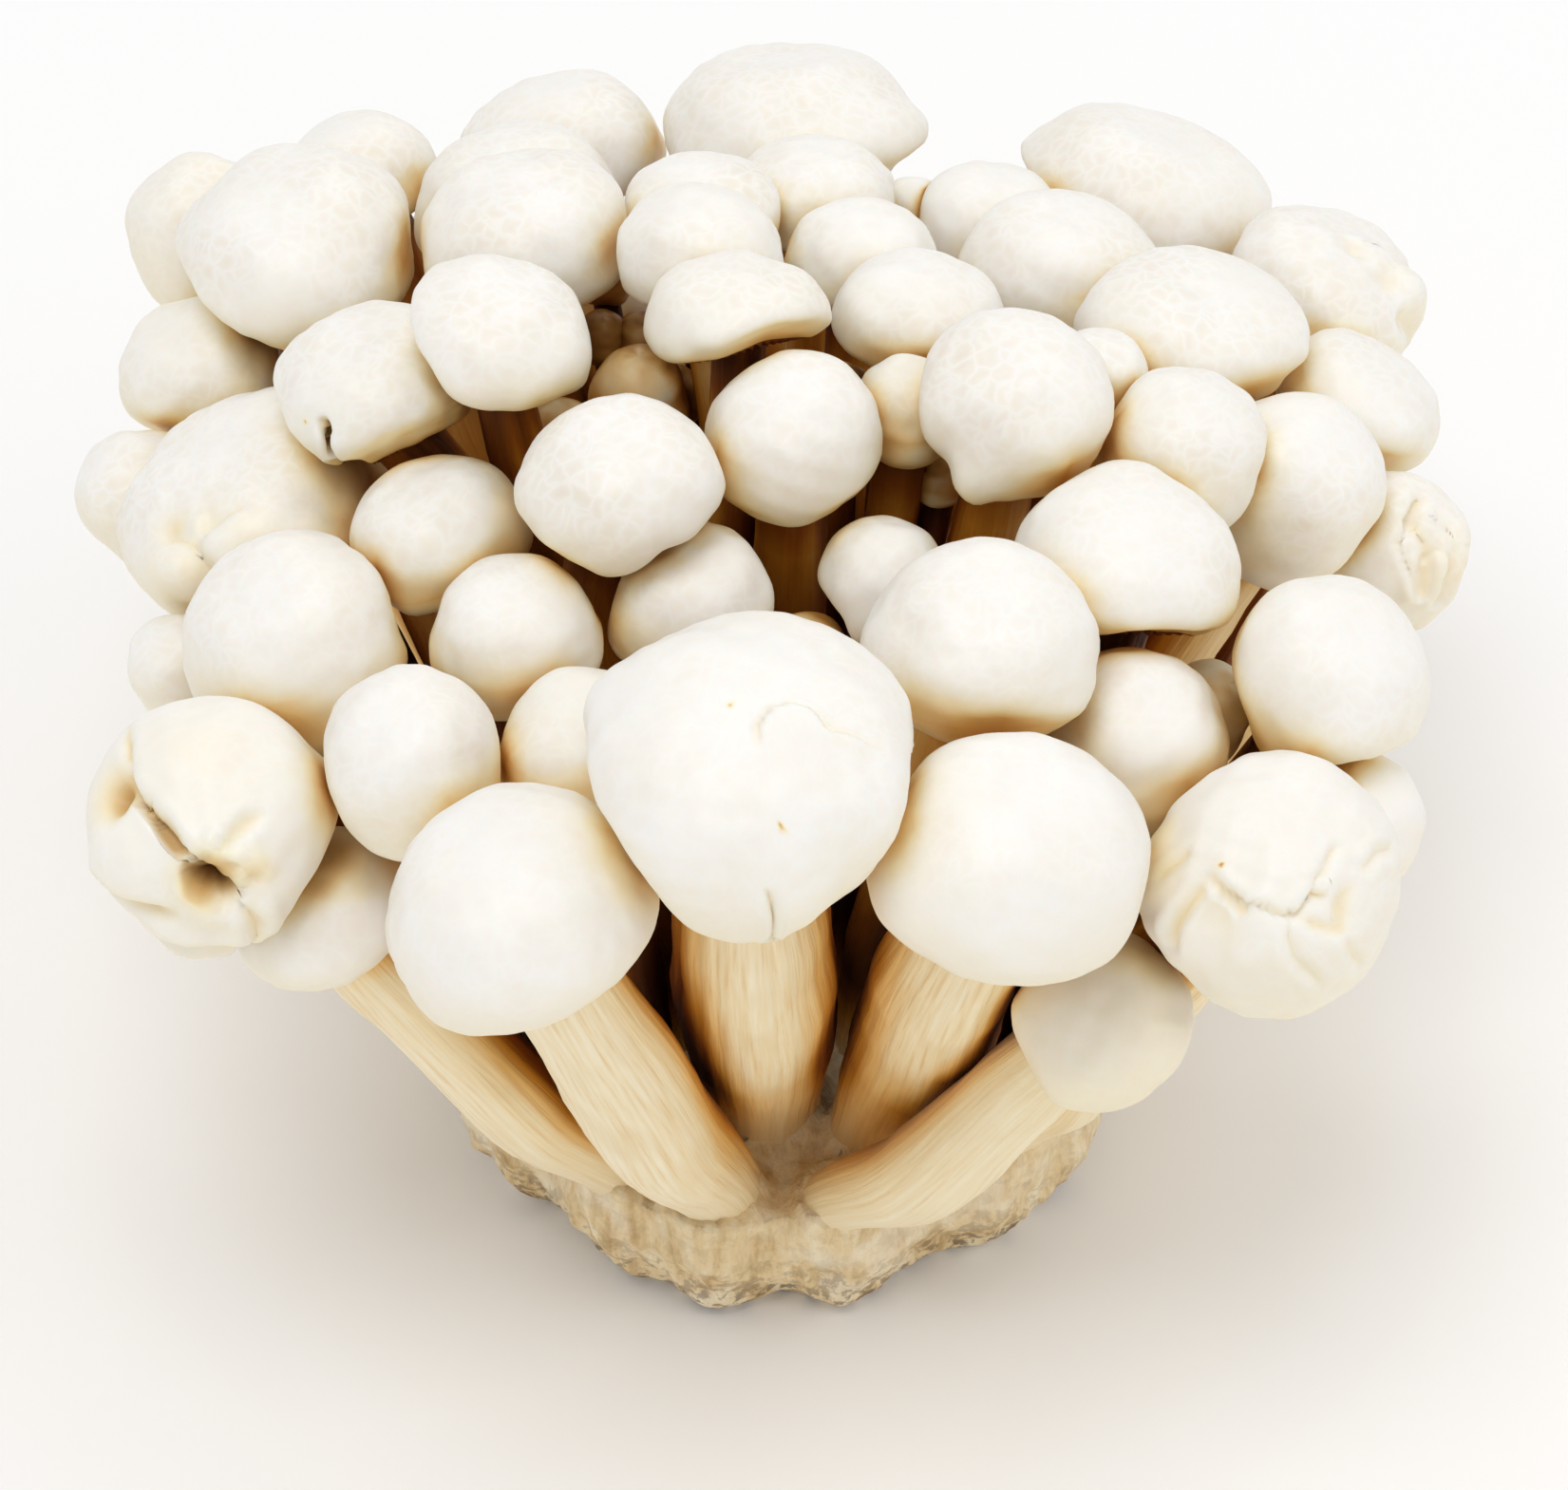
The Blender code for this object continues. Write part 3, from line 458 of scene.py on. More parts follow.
def form_giant(m):
    """The largest cap: a curved crease near its crown, two splits at its lower edge and some marks."""
    crease = [(0.03, -0.22), (0.02, -0.14), (0.06, -0.08), (0.11, -0.06)]
    crease += [(0.17, -0.08), (0.22, -0.13), (0.30, -0.13), (0.41, -0.16)]
    step(m, crease[::-1], 0.50, 2.4, 0.20)
    furrow(m, crease, 0.45, 0.45, 0.28, lips=0.4)
    dent(m, 0.13, -0.15, -0.45, 2.4)
    rim(m, 90, 50, -1.6)
    rim(m, -88, 26, -2.2, 0.0, 0.45)
    rim(m, -50, 16, -1.6, 0.0, 0.45)
    rim(m, 14, 9, 0.8, 0.2)
    furrow(m, [(0.06, -0.62), (0.09, -0.72), (0.11, -0.86)], 0.9, 0.45, 0.34, lips=0.3, blunt=True)
    furrow(m, [(0.085, -0.43), (0.10, -0.45), (0.115, -0.47)], 0.12, 0.28, 0.60)
    tint(m, -0.05, -0.07, 0.35, 0.62)
    furrow(m, [(0.62, 0.02), (0.80, 0.08), (0.95, 0.12)], 0.5, 0.5, 0.15, lips=0.8, ragged=0.3)


def form_wrinkled(m):
    """The cap at the front right, creased all over its front."""
    tint(m, 0.0, -0.1, 9.0, 0.06)
    furrow(m, [(-0.40, -0.02), (-0.34, -0.10), (-0.29, -0.14), (-0.25, -0.20)], 0.8, 0.60, 0.34)
    ridge = [(-0.31, -0.12), (-0.20, -0.14), (-0.13, -0.17), (-0.08, -0.17), (-0.03, -0.11), (0.05, -0.10)]
    step(m, ridge, 0.50, 2.4, 0.26)
    furrow(m, ridge[2:], 0.5, 0.6, 0.42, lips=0.3)
    hook = [(-0.09, -0.18), (0.0, -0.21), (0.11, -0.22), (0.10, -0.12), (0.15, -0.03)]
    furrow(m, hook, 0.4, 0.70, 0.32, lips=0.4)
    furrow(m, [(-0.38, -0.03), (-0.48, -0.15), (-0.56, -0.27), (-0.56, -0.38)], 0.9, 0.75, 0.34)
    furrow(m, [(-0.63, -0.02), (-0.54, 0.03), (-0.45, 0.08)], 0.5, 0.6, 0.26)
    down = [(-0.10, -0.18), (-0.09, -0.26), (-0.05, -0.33), (0.06, -0.41), (0.16, -0.48)]
    furrow(m, down, 0.45, 0.65, 0.20, lips=0.5)
    furrow(m, [(0.07, 0.08), (0.02, -0.02), (-0.04, -0.08)], 0.45, 0.6, 0.20, lips=0.5)
    furrow(m, [(0.16, -0.02), (0.24, 0.06), (0.36, 0.10)], 0.5, 0.7, 0.18, lips=0.4)
    furrow(m, [(0.12, -0.24), (0.22, -0.32), (0.34, -0.38)], 0.5, 0.7, 0.18, lips=0.4)
    dent(m, 0.10, -0.16, 0.6, 2.0, 0.18)
    dent(m, -0.36, -0.24, 0.7, 2.6, 0.14)
    dent(m, -0.20, -0.30, -0.8, 3.0)
    dent(m, -0.12, -0.02, -0.8, 3.4)
    tint(m, -0.35, 0.0, 0.30, 1.0)
    crumple(m, 0.12, 5.0, 71)


def form_dimpled(m):
    """The broad cap at the left, lobed below and dimpled where its lobes meet."""
    rim(m, -128, 22, 1.2, 1.6, 0.35)
    rim(m, -78, 20, -1.6, 0.8, 0.4)
    dent(m, -0.22, -0.31, 1.2, 2.1, 0.32)
    dent(m, -0.06, -0.33, 1.0, 2.4, 0.20)
    furrow(m, [(-0.29, -0.34), (-0.22, -0.37), (-0.15, -0.41), (-0.10, -0.42)], 0.8, 1.2, 0.28, lips=0.5)
    furrow(m, [(-0.12, -0.40), (-0.05, -0.37), (0.05, -0.34), (0.12, -0.35)], 0.6, 1.1, 0.20, lips=0.4)
    furrow(m, [(-0.14, -0.41), (-0.12, -0.48), (-0.11, -0.58), (-0.14, -0.80)], 1.3, 1.4, 0.30, lips=0.3)
    dent(m, -0.34, -0.52, -1.0, 3.6, 0.12)
    dent(m, 0.10, -0.42, -0.8, 3.6, 0.12)
    dent(m, 0.45, -0.30, 0.9, 4.0, 0.16)
    tint(m, -0.16, -0.55, 2.8, 0.24)
    tint(m, 0.40, -0.42, 3.4, 0.18)


def form_ragged(m):
    """The small cap at the right: a smooth lobe in front, and flaps of torn skin down its outer side."""
    tint(m, 0.1, -0.3, 5.0, 0.16)
    tear = [(-0.14, 0.12), (-0.20, 0.02), (-0.23, -0.05), (-0.28, -0.14)]
    tear += [(-0.31, -0.24), (-0.22, -0.38), (-0.08, -0.50), (0.10, -0.56)]
    step(m, tear[::-1], 0.6, 2.2, 0.12)
    furrow(m, tear[:4], 0.8, 0.9, 0.30, lips=0.3)
    furrow(m, [(-0.23, -0.06), (-0.17, -0.16), (-0.10, -0.24), (-0.02, -0.30)], 0.7, 1.0, 0.28, lips=0.4)
    furrow(m, [(-0.10, -0.26), (-0.04, -0.40), (0.10, -0.56)], 0.7, 0.9, 0.26, lips=0.5)
    furrow(m, [(0.08, -0.18), (0.16, -0.34), (0.32, -0.52)], 0.8, 0.9, 0.28, lips=0.5)
    dent(m, -0.16, -0.18, -0.7, 2.0)
    dent(m, 0.16, -0.02, -1.2, 2.6)
    rim(m, -140, 30, 1.4, 1.0, 0.3)
    rim(m, -40, 16, 1.0, 0.6, 0.4)
    rim(m, -8, 14, -0.8, 0.0, 0.4)


def form_split(m):
    """The cap with a short open slit in from its rim."""
    slit = [(-0.17, -0.44), (-0.18, -0.50), (-0.20, -0.56), (-0.25, -0.66), (-0.30, -0.80), (-0.34, -0.98)]
    rim(m, -112, 12, -1.4, 0.0, 0.4)
    furrow(m, slit[:4], 2.4, 0.5, 0.90, lips=0.05, blunt=True)
    furrow(m, slit[1:], 3.0, 0.9, 0.86, lips=0.1, blunt=True)
    rim(m, -140, 12, 0.9, 0.0, 0.4)
    tint(m, -0.29, -0.42, 0.30, 0.60)


def form_wavy(m):
    """The cap at the back right, with pinches and waves along its outer edge."""
    furrow(m, [(-0.03, 0.0), (-0.03, -0.10), (-0.05, -0.18)], 0.7, 1.5, 0.18, lips=0.4)
    dent(m, 0.17, -0.22, 0.9, 2.0, 0.18)
    furrow(m, [(0.30, -0.36), (0.40, -0.37), (0.54, -0.30), (0.75, -0.22)], 0.9, 1.4, 0.20, lips=0.4)
    dent(m, 0.08, -0.08, -0.6, 2.4)
    dent(m, 0.36, -0.16, -0.9, 2.8)
    furrow(m, [(0.16, -0.06), (0.30, 0.02), (0.52, 0.10)], 0.6, 1.4, 0.10, lips=0.3)
    rim(m, 12, 10, -0.9)
    rim(m, -10, 11, 0.9)
    rim(m, -30, 10, -1.1, 0.0, 0.4)


FORMS = {
    "mushroom_a1_torn": form_torn,
    "mushroom_a4_giant": form_giant,
    "mushroom_a7_wrinkled": form_wrinkled,
    "mushroom_d1_wavy": form_dimpled,
    "mushroom_d6_ragged": form_ragged,
    "mushroom_e3_split": form_split,
    "mushroom_f8_wavy": form_wavy,
}

# Smaller changes to the rims of plain caps, each a bearing and a width in degrees, then mm out and down
RIMS = {
    "mushroom_a6": ((-150, 24, -2.0, 0.0), (-118, 14, 1.0, 0.8)),
    "mushroom_d3": ((-62, 9, -1.6, 0.0), (-40, 10, 0.8, 0.3)),
    "mushroom_e6": ((-140, 12, -2.2, 0.0), (-112, 12, 0.8, 0.4)),
    "mushroom_c6": ((-14, 8, -1.2, 0.0), (-32, 8, 0.7, 0.0)),
    "mushroom_b5": ((-76, 8, -1.0, 0.0),),
    "mushroom_c5": ((-150, 18, -1.2, 0.0), (-115, 10, 0.7, 0.5)),
    "mushroom_e4": (
        (-92, 55, -1.7, -0.4), (-50, 24, -0.8, 0.0), (-142, 20, -0.7, 0.0), (-12, 12, 0.9, 0.0)
    ),
    "mushroom_g7": ((-4, 13, -2.0, 0.0), (-38, 16, 2.0, 1.2)),
    "mushroom_g1": (
        (-170, 12, 1.2, 0.0), (165, 9, -1.2, 0.0), (-140, 10, -1.0, 0.0), (145, 10, 0.8, 0.0)
    ),
    "mushroom_e1": ((-140, 9, -1.2, 0.0), (-122, 9, 0.7, 0.0)),
    "mushroom_c3": ((-24, 8, -1.2, 0.0), (-42, 9, 0.7, 0.2)),
}

# How far the whole skin of some mushrooms is tinted yellow
YELLOW_TINTS = {"mushroom_a6": 0.20, "mushroom_e2": 0.03, "mushroom_g1": 0.05}
YELLOW_WIDTHS = 3  # as wide as so many caps, so that it is even


def form(m):
    """Gives a mushroom the form that sets it apart."""
    if m.node in FORMS:
        FORMS[m.node](m)
    if m.node in YELLOW_TINTS:
        tint(m, 0.0, 0.0, YELLOW_WIDTHS * m.width, YELLOW_TINTS[m.node])
    for bearing, width, out, down in RIMS.get(m.node, ()):
        rim(m, bearing, width, out, down)


# How high and how long the skin's waves are, and how deep gills and fibres go, in mm. All but the short
# waves are for a cap of the usual width, and grow with it
USUAL_WIDTH = 20
LONG_WAVES, SHORT_WAVES = (0.22, 9.0), (0.07, 3.2)
GILL_DEPTH, FIBRE_DEPTH = 0.42, 0.022
GILL_WAVES, STEM_WAVES = 0.3, 0.5  # the share of the waves that gills and stems have
FIBRE_COUNTS = (5, 9, 14, 19, 27)
FIBRE_SWAY, SWAY_TURN = 0.9, 0.21
FIBRE_SWAYS, FIBRE_TURNS = (0.5, 1.5), (0.0, 6.28)  # between which the draws for each count fall
GILL_FROM, GILL_TO = 3.0, 2.0  # rows over which the gills deepen from the lip and end at the stem
CROWN_CALM = 4.0  # rows over which the unevenness begins at the crown


def shape_skin(m):
    """Gives a smooth mushroom its unevenness, gills and stem fibres."""
    normals = m.normals()
    size = m.width / USUAL_WIDTH
    push = LONG_WAVES[0] * size * lumps(m.grid, LONG_WAVES[1] * size, m.seed)
    push += SHORT_WAVES[0] * lumps(m.grid, SHORT_WAVES[1], m.seed + SHORT_WAVES_SEED)
    row = np.arange(m.rows)[:, None]
    under = (row > m.lip_row) & (row < m.stem_row)
    into = np.clip((row - m.lip_row) / GILL_FROM, 0, 1) * np.clip((m.stem_row - row) / GILL_TO, 0, 1)
    fold = np.where(np.arange(m.columns) % 2, 1.0, -1.0)
    push = np.where(under, GILL_WAVES * push + GILL_DEPTH * size * into * fold, push)
    turn = bearings(m.columns)
    sway = FIBRE_SWAY * np.sin(row * SWAY_TURN + m.seed)
    draw = np.random.default_rng(m.seed + FIBRES_SEED)
    fibres = sum(
        np.sin(count * turn + sway * draw.uniform(*FIBRE_SWAYS) + draw.uniform(*FIBRE_TURNS))
        for count in FIBRE_COUNTS
    )
    push = np.where(row >= m.stem_row, STEM_WAVES * push + FIBRE_DEPTH * size * fibres, push)
    fade = np.clip((row - 1) / CROWN_CALM, 0, 1)
    m.grid = m.grid + normals * (push * fade)[..., None]


# Meshes

CAP_SLOT, GILL_SLOT, STEM_SLOT = 0, 1, 2
FIBRE_TURN = 0.2  # how far a stem's pattern is drawn out round it, as a share of the cap's width
FIBRE_START = 7.3  # how far apart the patterns of two mushrooms start

# The clouds on a skin and its patches of web: the middle value, then how strong and how wide in mm
CLOUD_MIDDLE, CLOUD, FINE_CLOUD = 0.5, (0.22, 11.0), (0.12, 4.0)
WEB_MIDDLE, WEB_PATCHES, WEB_LIMITS = 0.78, (0.35, 14.0), (0.25, 1.3)


def quads_between(rows, count, start):
    """The faces of a grid whose rows close round, with its first point at that number."""
    column = np.arange(count)
    after = (column + 1) % count
    first = start + np.arange(rows - 1)[:, None] * count
    corners = [first + column, first + count + column, first + count + after, first + after]
    return np.stack(corners, axis=-1).reshape(-1, 4).tolist()


def faces_of(m, start):
    """A mushroom's faces, closed at the crown and at the foot, and each one's material slot."""
    count, rows = m.columns, m.rows - 1
    column = np.arange(count)
    ring = start + 1 + column
    fan = np.column_stack([np.full(count, start), ring, start + 1 + (column + 1) % count])
    heel = start + 1 + (rows - 1) * count + column[::-1]
    faces = [*fan.tolist(), *quads_between(rows, count, start + 1), heel.tolist()]
    row = np.arange(1, rows)
    slots = np.where(row < m.lip_row, CAP_SLOT, np.where(row < m.stem_row, GILL_SLOT, STEM_SLOT))
    return faces, [CAP_SLOT] * count + np.repeat(slots, count).tolist() + [STEM_SLOT]


def values_of(m):
    """What the materials read at each point of a mushroom."""
    cloud = CLOUD_MIDDLE + CLOUD[0] * lumps(m.grid, CLOUD[1], m.seed + CLOUD_SEED)
    cloud += FINE_CLOUD[0] * lumps(m.grid, FINE_CLOUD[1], m.seed + FINE_CLOUD_SEED)
    web = WEB_MIDDLE + WEB_PATCHES[0] * lumps(m.grid, WEB_PATCHES[1], m.seed + WEB_SEED)
    web = WEB_SHOWS.get(m.node.split("_")[1][0], 1.0) * np.clip(web, *WEB_LIMITS)
    turn = bearings(m.columns)
    steps = np.linalg.norm(np.diff(m.grid.mean(axis=1), axis=0), axis=1)
    fibre = np.zeros(m.grid.shape)
    fibre[..., 0] = np.cos(turn) * m.width * FIBRE_TURN
    fibre[..., 1] = np.sin(turn) * m.width * FIBRE_TURN
    fibre[..., 2] = np.concatenate([[0], np.cumsum(steps)])[:, None] + m.seed * FIBRE_START
    edge = np.broadcast_to(m.share[:, None], m.grid.shape[:2])
    values = {"deep": m.deep, "near": m.near, "stain_and_crease_shade": m.stain_and_crease_shade, "edge": edge}
    return values | {"cloud": cloud, "web": web, "fibre": fibre}


def point_by_point(grid):
    """A grid's values in the order of a mesh's points: the crown once, then every row."""
    return np.concatenate([grid[0, :1], grid[1:].reshape(-1, *grid.shape[2:])])


def link(name, data):
    """An object in the scene with that mesh, light or camera."""
    thing = bpy.data.objects.new(name, data)
    bpy.context.scene.collection.objects.link(thing)
    return thing


def mesh_of(name, parts, materials):
    """One object from the grids of several mushrooms."""
    mesh = bpy.data.meshes.new(name)
    start, faces, slots = 0, [], []
    for m in parts:
        more_faces, more_slots = faces_of(m, start)
        faces += more_faces
        slots += more_slots
        start += 1 + (m.rows - 1) * m.columns
    points = np.concatenate([point_by_point(m.grid) for m in parts])
    mesh.from_pydata((points * MM).tolist(), [], faces)
    mesh.polygons.foreach_set("material_index", slots)
    mesh.shade_smooth()
    values = [values_of(m) for m in parts]
    for key in values[0]:
        data = np.concatenate([point_by_point(value[key]) for value in values])
        kind, field = ("FLOAT", "value") if data.ndim == 1 else ("FLOAT_VECTOR", "vector")
        mesh.attributes.new(key, kind, "POINT").data.foreach_set(field, data.reshape(-1))
    for finish in materials:
        mesh.materials.append(finish)
    mesh.update()
    return link(name, mesh)


# How deep in the clump each point lies, for the painted shade

GOLDEN_TURN = math.pi * (1 + math.sqrt(5))


def ray_directions(count):
    """Directions over a half sphere round +Z, closer together towards the pole."""
    k = np.arange(count) + 0.5
    radius = np.sqrt(k / count)
    turn = k * GOLDEN_TURN
    return np.column_stack([radius * np.cos(turn), radius * np.sin(turn), np.sqrt(1 - radius**2)])


def shade_deep(all_mushrooms, base_grid):
    """Sets each point's depth and nearness for the painted shade: 0 in the open, towards 1 where
    neighbours close it in.
    """
    points, faces = [base_grid.reshape(-1, 3)], quads_between(*base_grid.shape[:2], 0)
    start = len(points[0])
    for m in all_mushrooms:
        grid = m.grid[::SHADE_ROWS, ::SHADE_COLUMNS]
        points.append(grid.reshape(-1, 3))
        faces += quads_between(*grid.shape[:2], start)
        start += len(points[-1])
    tree = BVHTree.FromPolygons(np.concatenate(points).tolist(), faces)
    rays = ray_directions(RAYS)
    for m in all_mushrooms:
        rows, columns = np.arange(0, m.rows, SHADE_ROWS), np.arange(0, m.columns, SHADE_COLUMNS)
        normals = m.normals()[np.ix_(rows, columns)]
        spots = m.grid[np.ix_(rows, columns)]
        coarse = np.zeros((2, *spots.shape[:2]))
        for i, j in np.ndindex(spots.shape[:2]):
            up = normals[i, j]
            side = unit(np.cross(up, ASLANT))
            other = np.cross(up, side)
            begin = Vector(spots[i, j] + up * RAY_START)
            for way in rays @ np.array([side, other, up]):
                *_, distance = tree.ray_cast(begin, way.tolist(), RAY_REACH)
                if distance is not None:
                    coarse[0, i, j] += 1 / RAYS
                    coarse[1, i, j] += max(1 - distance / NEAR_REACH, 0) / RAYS
        m.deep, near = (finer(values, rows, m) for values in coarse)
        m.deep *= np.interp(m.grid[..., 2], FOOT_LIGHT, (FOOT_SHADE, 1.0))
        m.near = np.maximum(near, DEEP_SHADE * (m.deep - DEEP_FROM)) + SUNK_SHADE.get(m.node, 0.0)


def finer(values, rows, m):
    """Spreads values from some rows and columns over a mushroom's whole grid."""
    wide = np.concatenate([values, values[:, :1]], axis=1)
    places = np.arange(m.columns) / SHADE_COLUMNS
    wide = np.array([np.interp(places, np.arange(wide.shape[1]), row) for row in wide])
    return np.array([np.interp(np.arange(m.rows), rows, column) for column in wide.T]).T


# Materials

def node_tree(name):
    made = bpy.data.materials.new(name)
    made.use_nodes = True
    tree = made.node_tree
    return made, tree, tree.nodes["Principled BSDF"]


def fill(tree, node, inputs):
    """Links or sets a node's inputs."""
    for key, value in inputs.items():
        if isinstance(value, bpy.types.NodeSocket):
            tree.links.new(value, node.inputs[key])
        else:
            node.inputs[key].default_value = value


def add(tree, kind, inputs, **settings):
    """A node with its inputs and its settings."""
    node = tree.nodes.new(kind)
    for key, value in settings.items():
        setattr(node, key, value)
    fill(tree, node, inputs)
    return node


def attribute(tree, name, output="Fac"):
    return add(tree, "ShaderNodeAttribute", {}, attribute_name=name).outputs[output]


def vector_node(tree, operation, a, b):
    return add(tree, "ShaderNodeVectorMath", {0: a, 1: b}, operation=operation).outputs[0]


def upward(tree, vector):
    """The part of a vector along +Z."""
    return add(tree, "ShaderNodeSeparateXYZ", {0: vector}).outputs[2]


def math_node(tree, operation, a, b, clamp=False):
    return add(tree, "ShaderNodeMath", {0: a, 1: b}, operation=operation, use_clamp=clamp).outputs[0]


def rgba(colour):
    """A colour as a socket takes it. A number gives a grey, and a link stays as it is."""
    if isinstance(colour, bpy.types.NodeSocket):
        return colour
    return (*np.broadcast_to(colour, 3).tolist(), 1.0)


MIX_FACTOR, MIX_A, MIX_B, MIX_RESULT = 0, 6, 7, 2  # the sockets of a node that mixes colours


def mix(tree, factor, a, b, blend="MIX"):
    inputs = {MIX_FACTOR: factor, MIX_A: rgba(a), MIX_B: rgba(b)}
    node = add(tree, "ShaderNodeMix", inputs, data_type="RGBA", blend_type=blend)
    return node.outputs[MIX_RESULT]


def ramp(tree, factor, stops):
    """A colour or a grey that follows a value through some stops."""
    node = add(tree, "ShaderNodeValToRGB", {0: factor})
    band = node.color_ramp
    while len(band.elements) < len(stops):
        band.elements.new(0.5)
    for element, (place, colour) in zip(band.elements, stops):
        element.position, element.color = place, rgba(colour)
    return node.outputs[0]


def noise(tree, vector, scale, detail, rough):
    inputs = {"Vector": vector, "Scale": scale, "Detail": detail, "Roughness": rough}
    return add(tree, "ShaderNodeTexNoise", inputs).outputs["Fac"]


def place_of(tree):
    return tree.nodes.new("ShaderNodeTexCoord").outputs["Object"]


# How a cap colours with painted shade towards its neighbours, stems and gills with painted shade down into
# the clump, and skin with stains and painted shade in its folds
NEAR_PAINTED_SHADE_STOPS = (
    (0.0, (1.0, 1.0, 1.0)),
    (0.14, (1.0, 0.985, 0.92)),
    (0.30, (1.0, 0.92, 0.70)),
    (0.46, (0.96, 0.74, 0.40)),
    (0.64, (0.70, 0.38, 0.10)),
    (0.88, (0.28, 0.10, 0.01)),
)
DEEP_PAINTED_SHADE_STOPS = (
    (0.0, (1.0, 1.0, 1.0)),
    (0.28, (1.0, 0.95, 0.82)),
    (0.50, (0.96, 0.72, 0.36)),
    (0.66, (0.70, 0.35, 0.045)),
    (0.80, (0.32, 0.105, 0.006)),
    (0.95, (0.06, 0.012, 0.001)),
)
# Stains and painted shade in folds, dents and tears, from light to dark
STAIN_AND_CREASE_SHADE_STOPS = (
    (0.0, (0.95, 0.86, 0.62)),
    (0.30, (0.90, 0.76, 0.46)),
    (0.60, (0.66, 0.42, 0.16)),
    (0.85, (0.30, 0.14, 0.04)),
    (1.0, (0.05, 0.025, 0.012)),
)
STAIN_AND_CREASE_SHADE_SHOWS = 2.2

# Colours of the skins, from the darker to the lighter where there are several
CAP_GROUND = ((0.2, (0.888, 0.856, 0.792)), (0.8, (0.914, 0.894, 0.854)))
CAP_SPOT = ((0.2, (0.800, 0.715, 0.585)), (0.8, (0.835, 0.760, 0.645)))
CAP_CROWN = (0.914, 0.902, 0.876)
# Painted shade: a warm, darker colour on cap skin that faces down
CAP_PAINTED_UNDER_SHADE = (0.97, 0.87, 0.64)
# The rim's warmer tone, partly the cap's own colour and partly painted shade on its lower edge
CAP_RIM_TONE_AND_SHADE = (0.86, 0.73, 0.50)
STEM_STREAK = ((0.28, (0.85, 0.64, 0.36)), (0.45, (0.94, 0.79, 0.52)), (0.68, (0.98, 0.88, 0.66)))
STEM_CLOUD = (0.84, 0.66, 0.38)
STEM_LOW = (0.83, 0.68, 0.43)
GILL = ((0.3, (0.80, 0.63, 0.40)), (0.7, (0.92, 0.80, 0.60)))
BASE_STREAK = ((0.30, (0.54, 0.35, 0.15)), (0.48, (0.80, 0.61, 0.34)), (0.68, (0.92, 0.79, 0.54)))
BASE_MOULD = (0.94, 0.87, 0.72)
BASE_FLECK = (0.12, 0.065, 0.03)

# How much shows: of the web from a line into a spot and from crown to rim, then of each colour
WEB_SPOTS = ((0.03, 0.0), (0.16, 0.55), (0.42, 1.0))
WEB_ACROSS = ((0.0, 0.45), (0.35, 1.0), (0.75, 0.8), (0.95, 0.2))
WEB_STRENGTH = 0.46
CROWN_SHOWS = ((0.05, 0.5), (0.5, 0.0))
# How much of the rim's own tone and painted shade shows, by the share from crown to lip
RIM_TONE_AND_SHADE_SHOWS = ((0.66, 0.0), (0.90, 0.25), (1.0, 0.75))
# How much painted shade shows on skin that faces down, by how far it faces up
PAINTED_UNDER_SHADE_SHOWS = ((0.18, 0.85), (0.74, 0.0))
CLOUD_SHOWS = ((0.50, 0.0), (0.95, 0.45))
LOW_SHOWS = ((0.50, 0.85), (0.66, 0.45), (1.0, 0.0))
MOULD_SHOWS = ((0.5, 0.0), (0.66, 0.45))
FLECKS_SHOW = ((0.47, 0.0), (0.56, 1.0))
FLECKS_LOW = ((0.0, 1.0), (0.45, 0.5), (1.0, 0.12))

# How fine a pattern is, in repeats a metre and a stem's in repeats a mm, how detailed and how rough
STEM_PATTERN = (2.6, 3.0, 0.55)
GILL_PATTERN = (300.0, 3.0, 0.5)
BASE_PATTERN = (420.0, 6.0, 0.6)
MOULD_PATTERN = (140.0, 4.0, 0.5)
FLECK_PATTERN = (620.0, 5.0, 0.65)
STEM_DRAWN, BASE_DRAWN = 0.030, 0.25  # less than 1 draws a pattern out upright

# The same for the web and its bends, then how far it bends and other lengths in metres
WEB_SCALE, WEB_BEND_SCALE, WEB_BEND = 560.0, 430.0, 0.0024
STEM_LOW_TO, FLECKS_TO = 0.034, 0.012
STEM_BUMP, BASE_BUMP = 0.00012, 0.0006

# Moist flesh: how far light of each colour goes into it in metres, on caps how much does, and its gloss
IOR = 1.4
FLESH_REACH, FLESH_COLOURS, CAP_FLESH = 0.004, (1.0, 0.55, 0.30), 0.25
CAP_ROUGHNESS, STEM_ROUGHNESS, GILL_ROUGHNESS, BASE_ROUGHNESS = 0.45, 0.6, 0.6, 0.75


def flesh(tree, shader, colour, roughness, depth=0.0):
    """Finishes a skin as moist flesh, into which so much of the light goes."""
    inputs = {"Base Color": colour, "Roughness": roughness, "IOR": IOR, "Subsurface Weight": depth}
    inputs |= {"Subsurface Radius": FLESH_COLOURS, "Subsurface Scale": FLESH_REACH}
    fill(tree, shader, inputs)


def bump(tree, shader, height, distance):
    node = add(tree, "ShaderNodeBump", {"Height": height, "Distance": distance, "Strength": 1.0})
    fill(tree, shader, {"Normal": node.outputs[0]})


def shaded(tree, colour, closeness="deep", stops=DEEP_PAINTED_SHADE_STOPS):
    """Darkens and browns a colour with painted shade where the clump closes in, and stains it and paints
    shade in its folds.
    """
    colour = mix(tree, 1.0, colour, ramp(tree, attribute(tree, closeness), stops), "MULTIPLY")
    stain_and_crease_shade = attribute(tree, "stain_and_crease_shade")
    shows = math_node(tree, "MULTIPLY", stain_and_crease_shade, STAIN_AND_CREASE_SHADE_SHOWS, clamp=True)
    return mix(tree, shows, colour, ramp(tree, stain_and_crease_shade, STAIN_AND_CREASE_SHADE_STOPS))


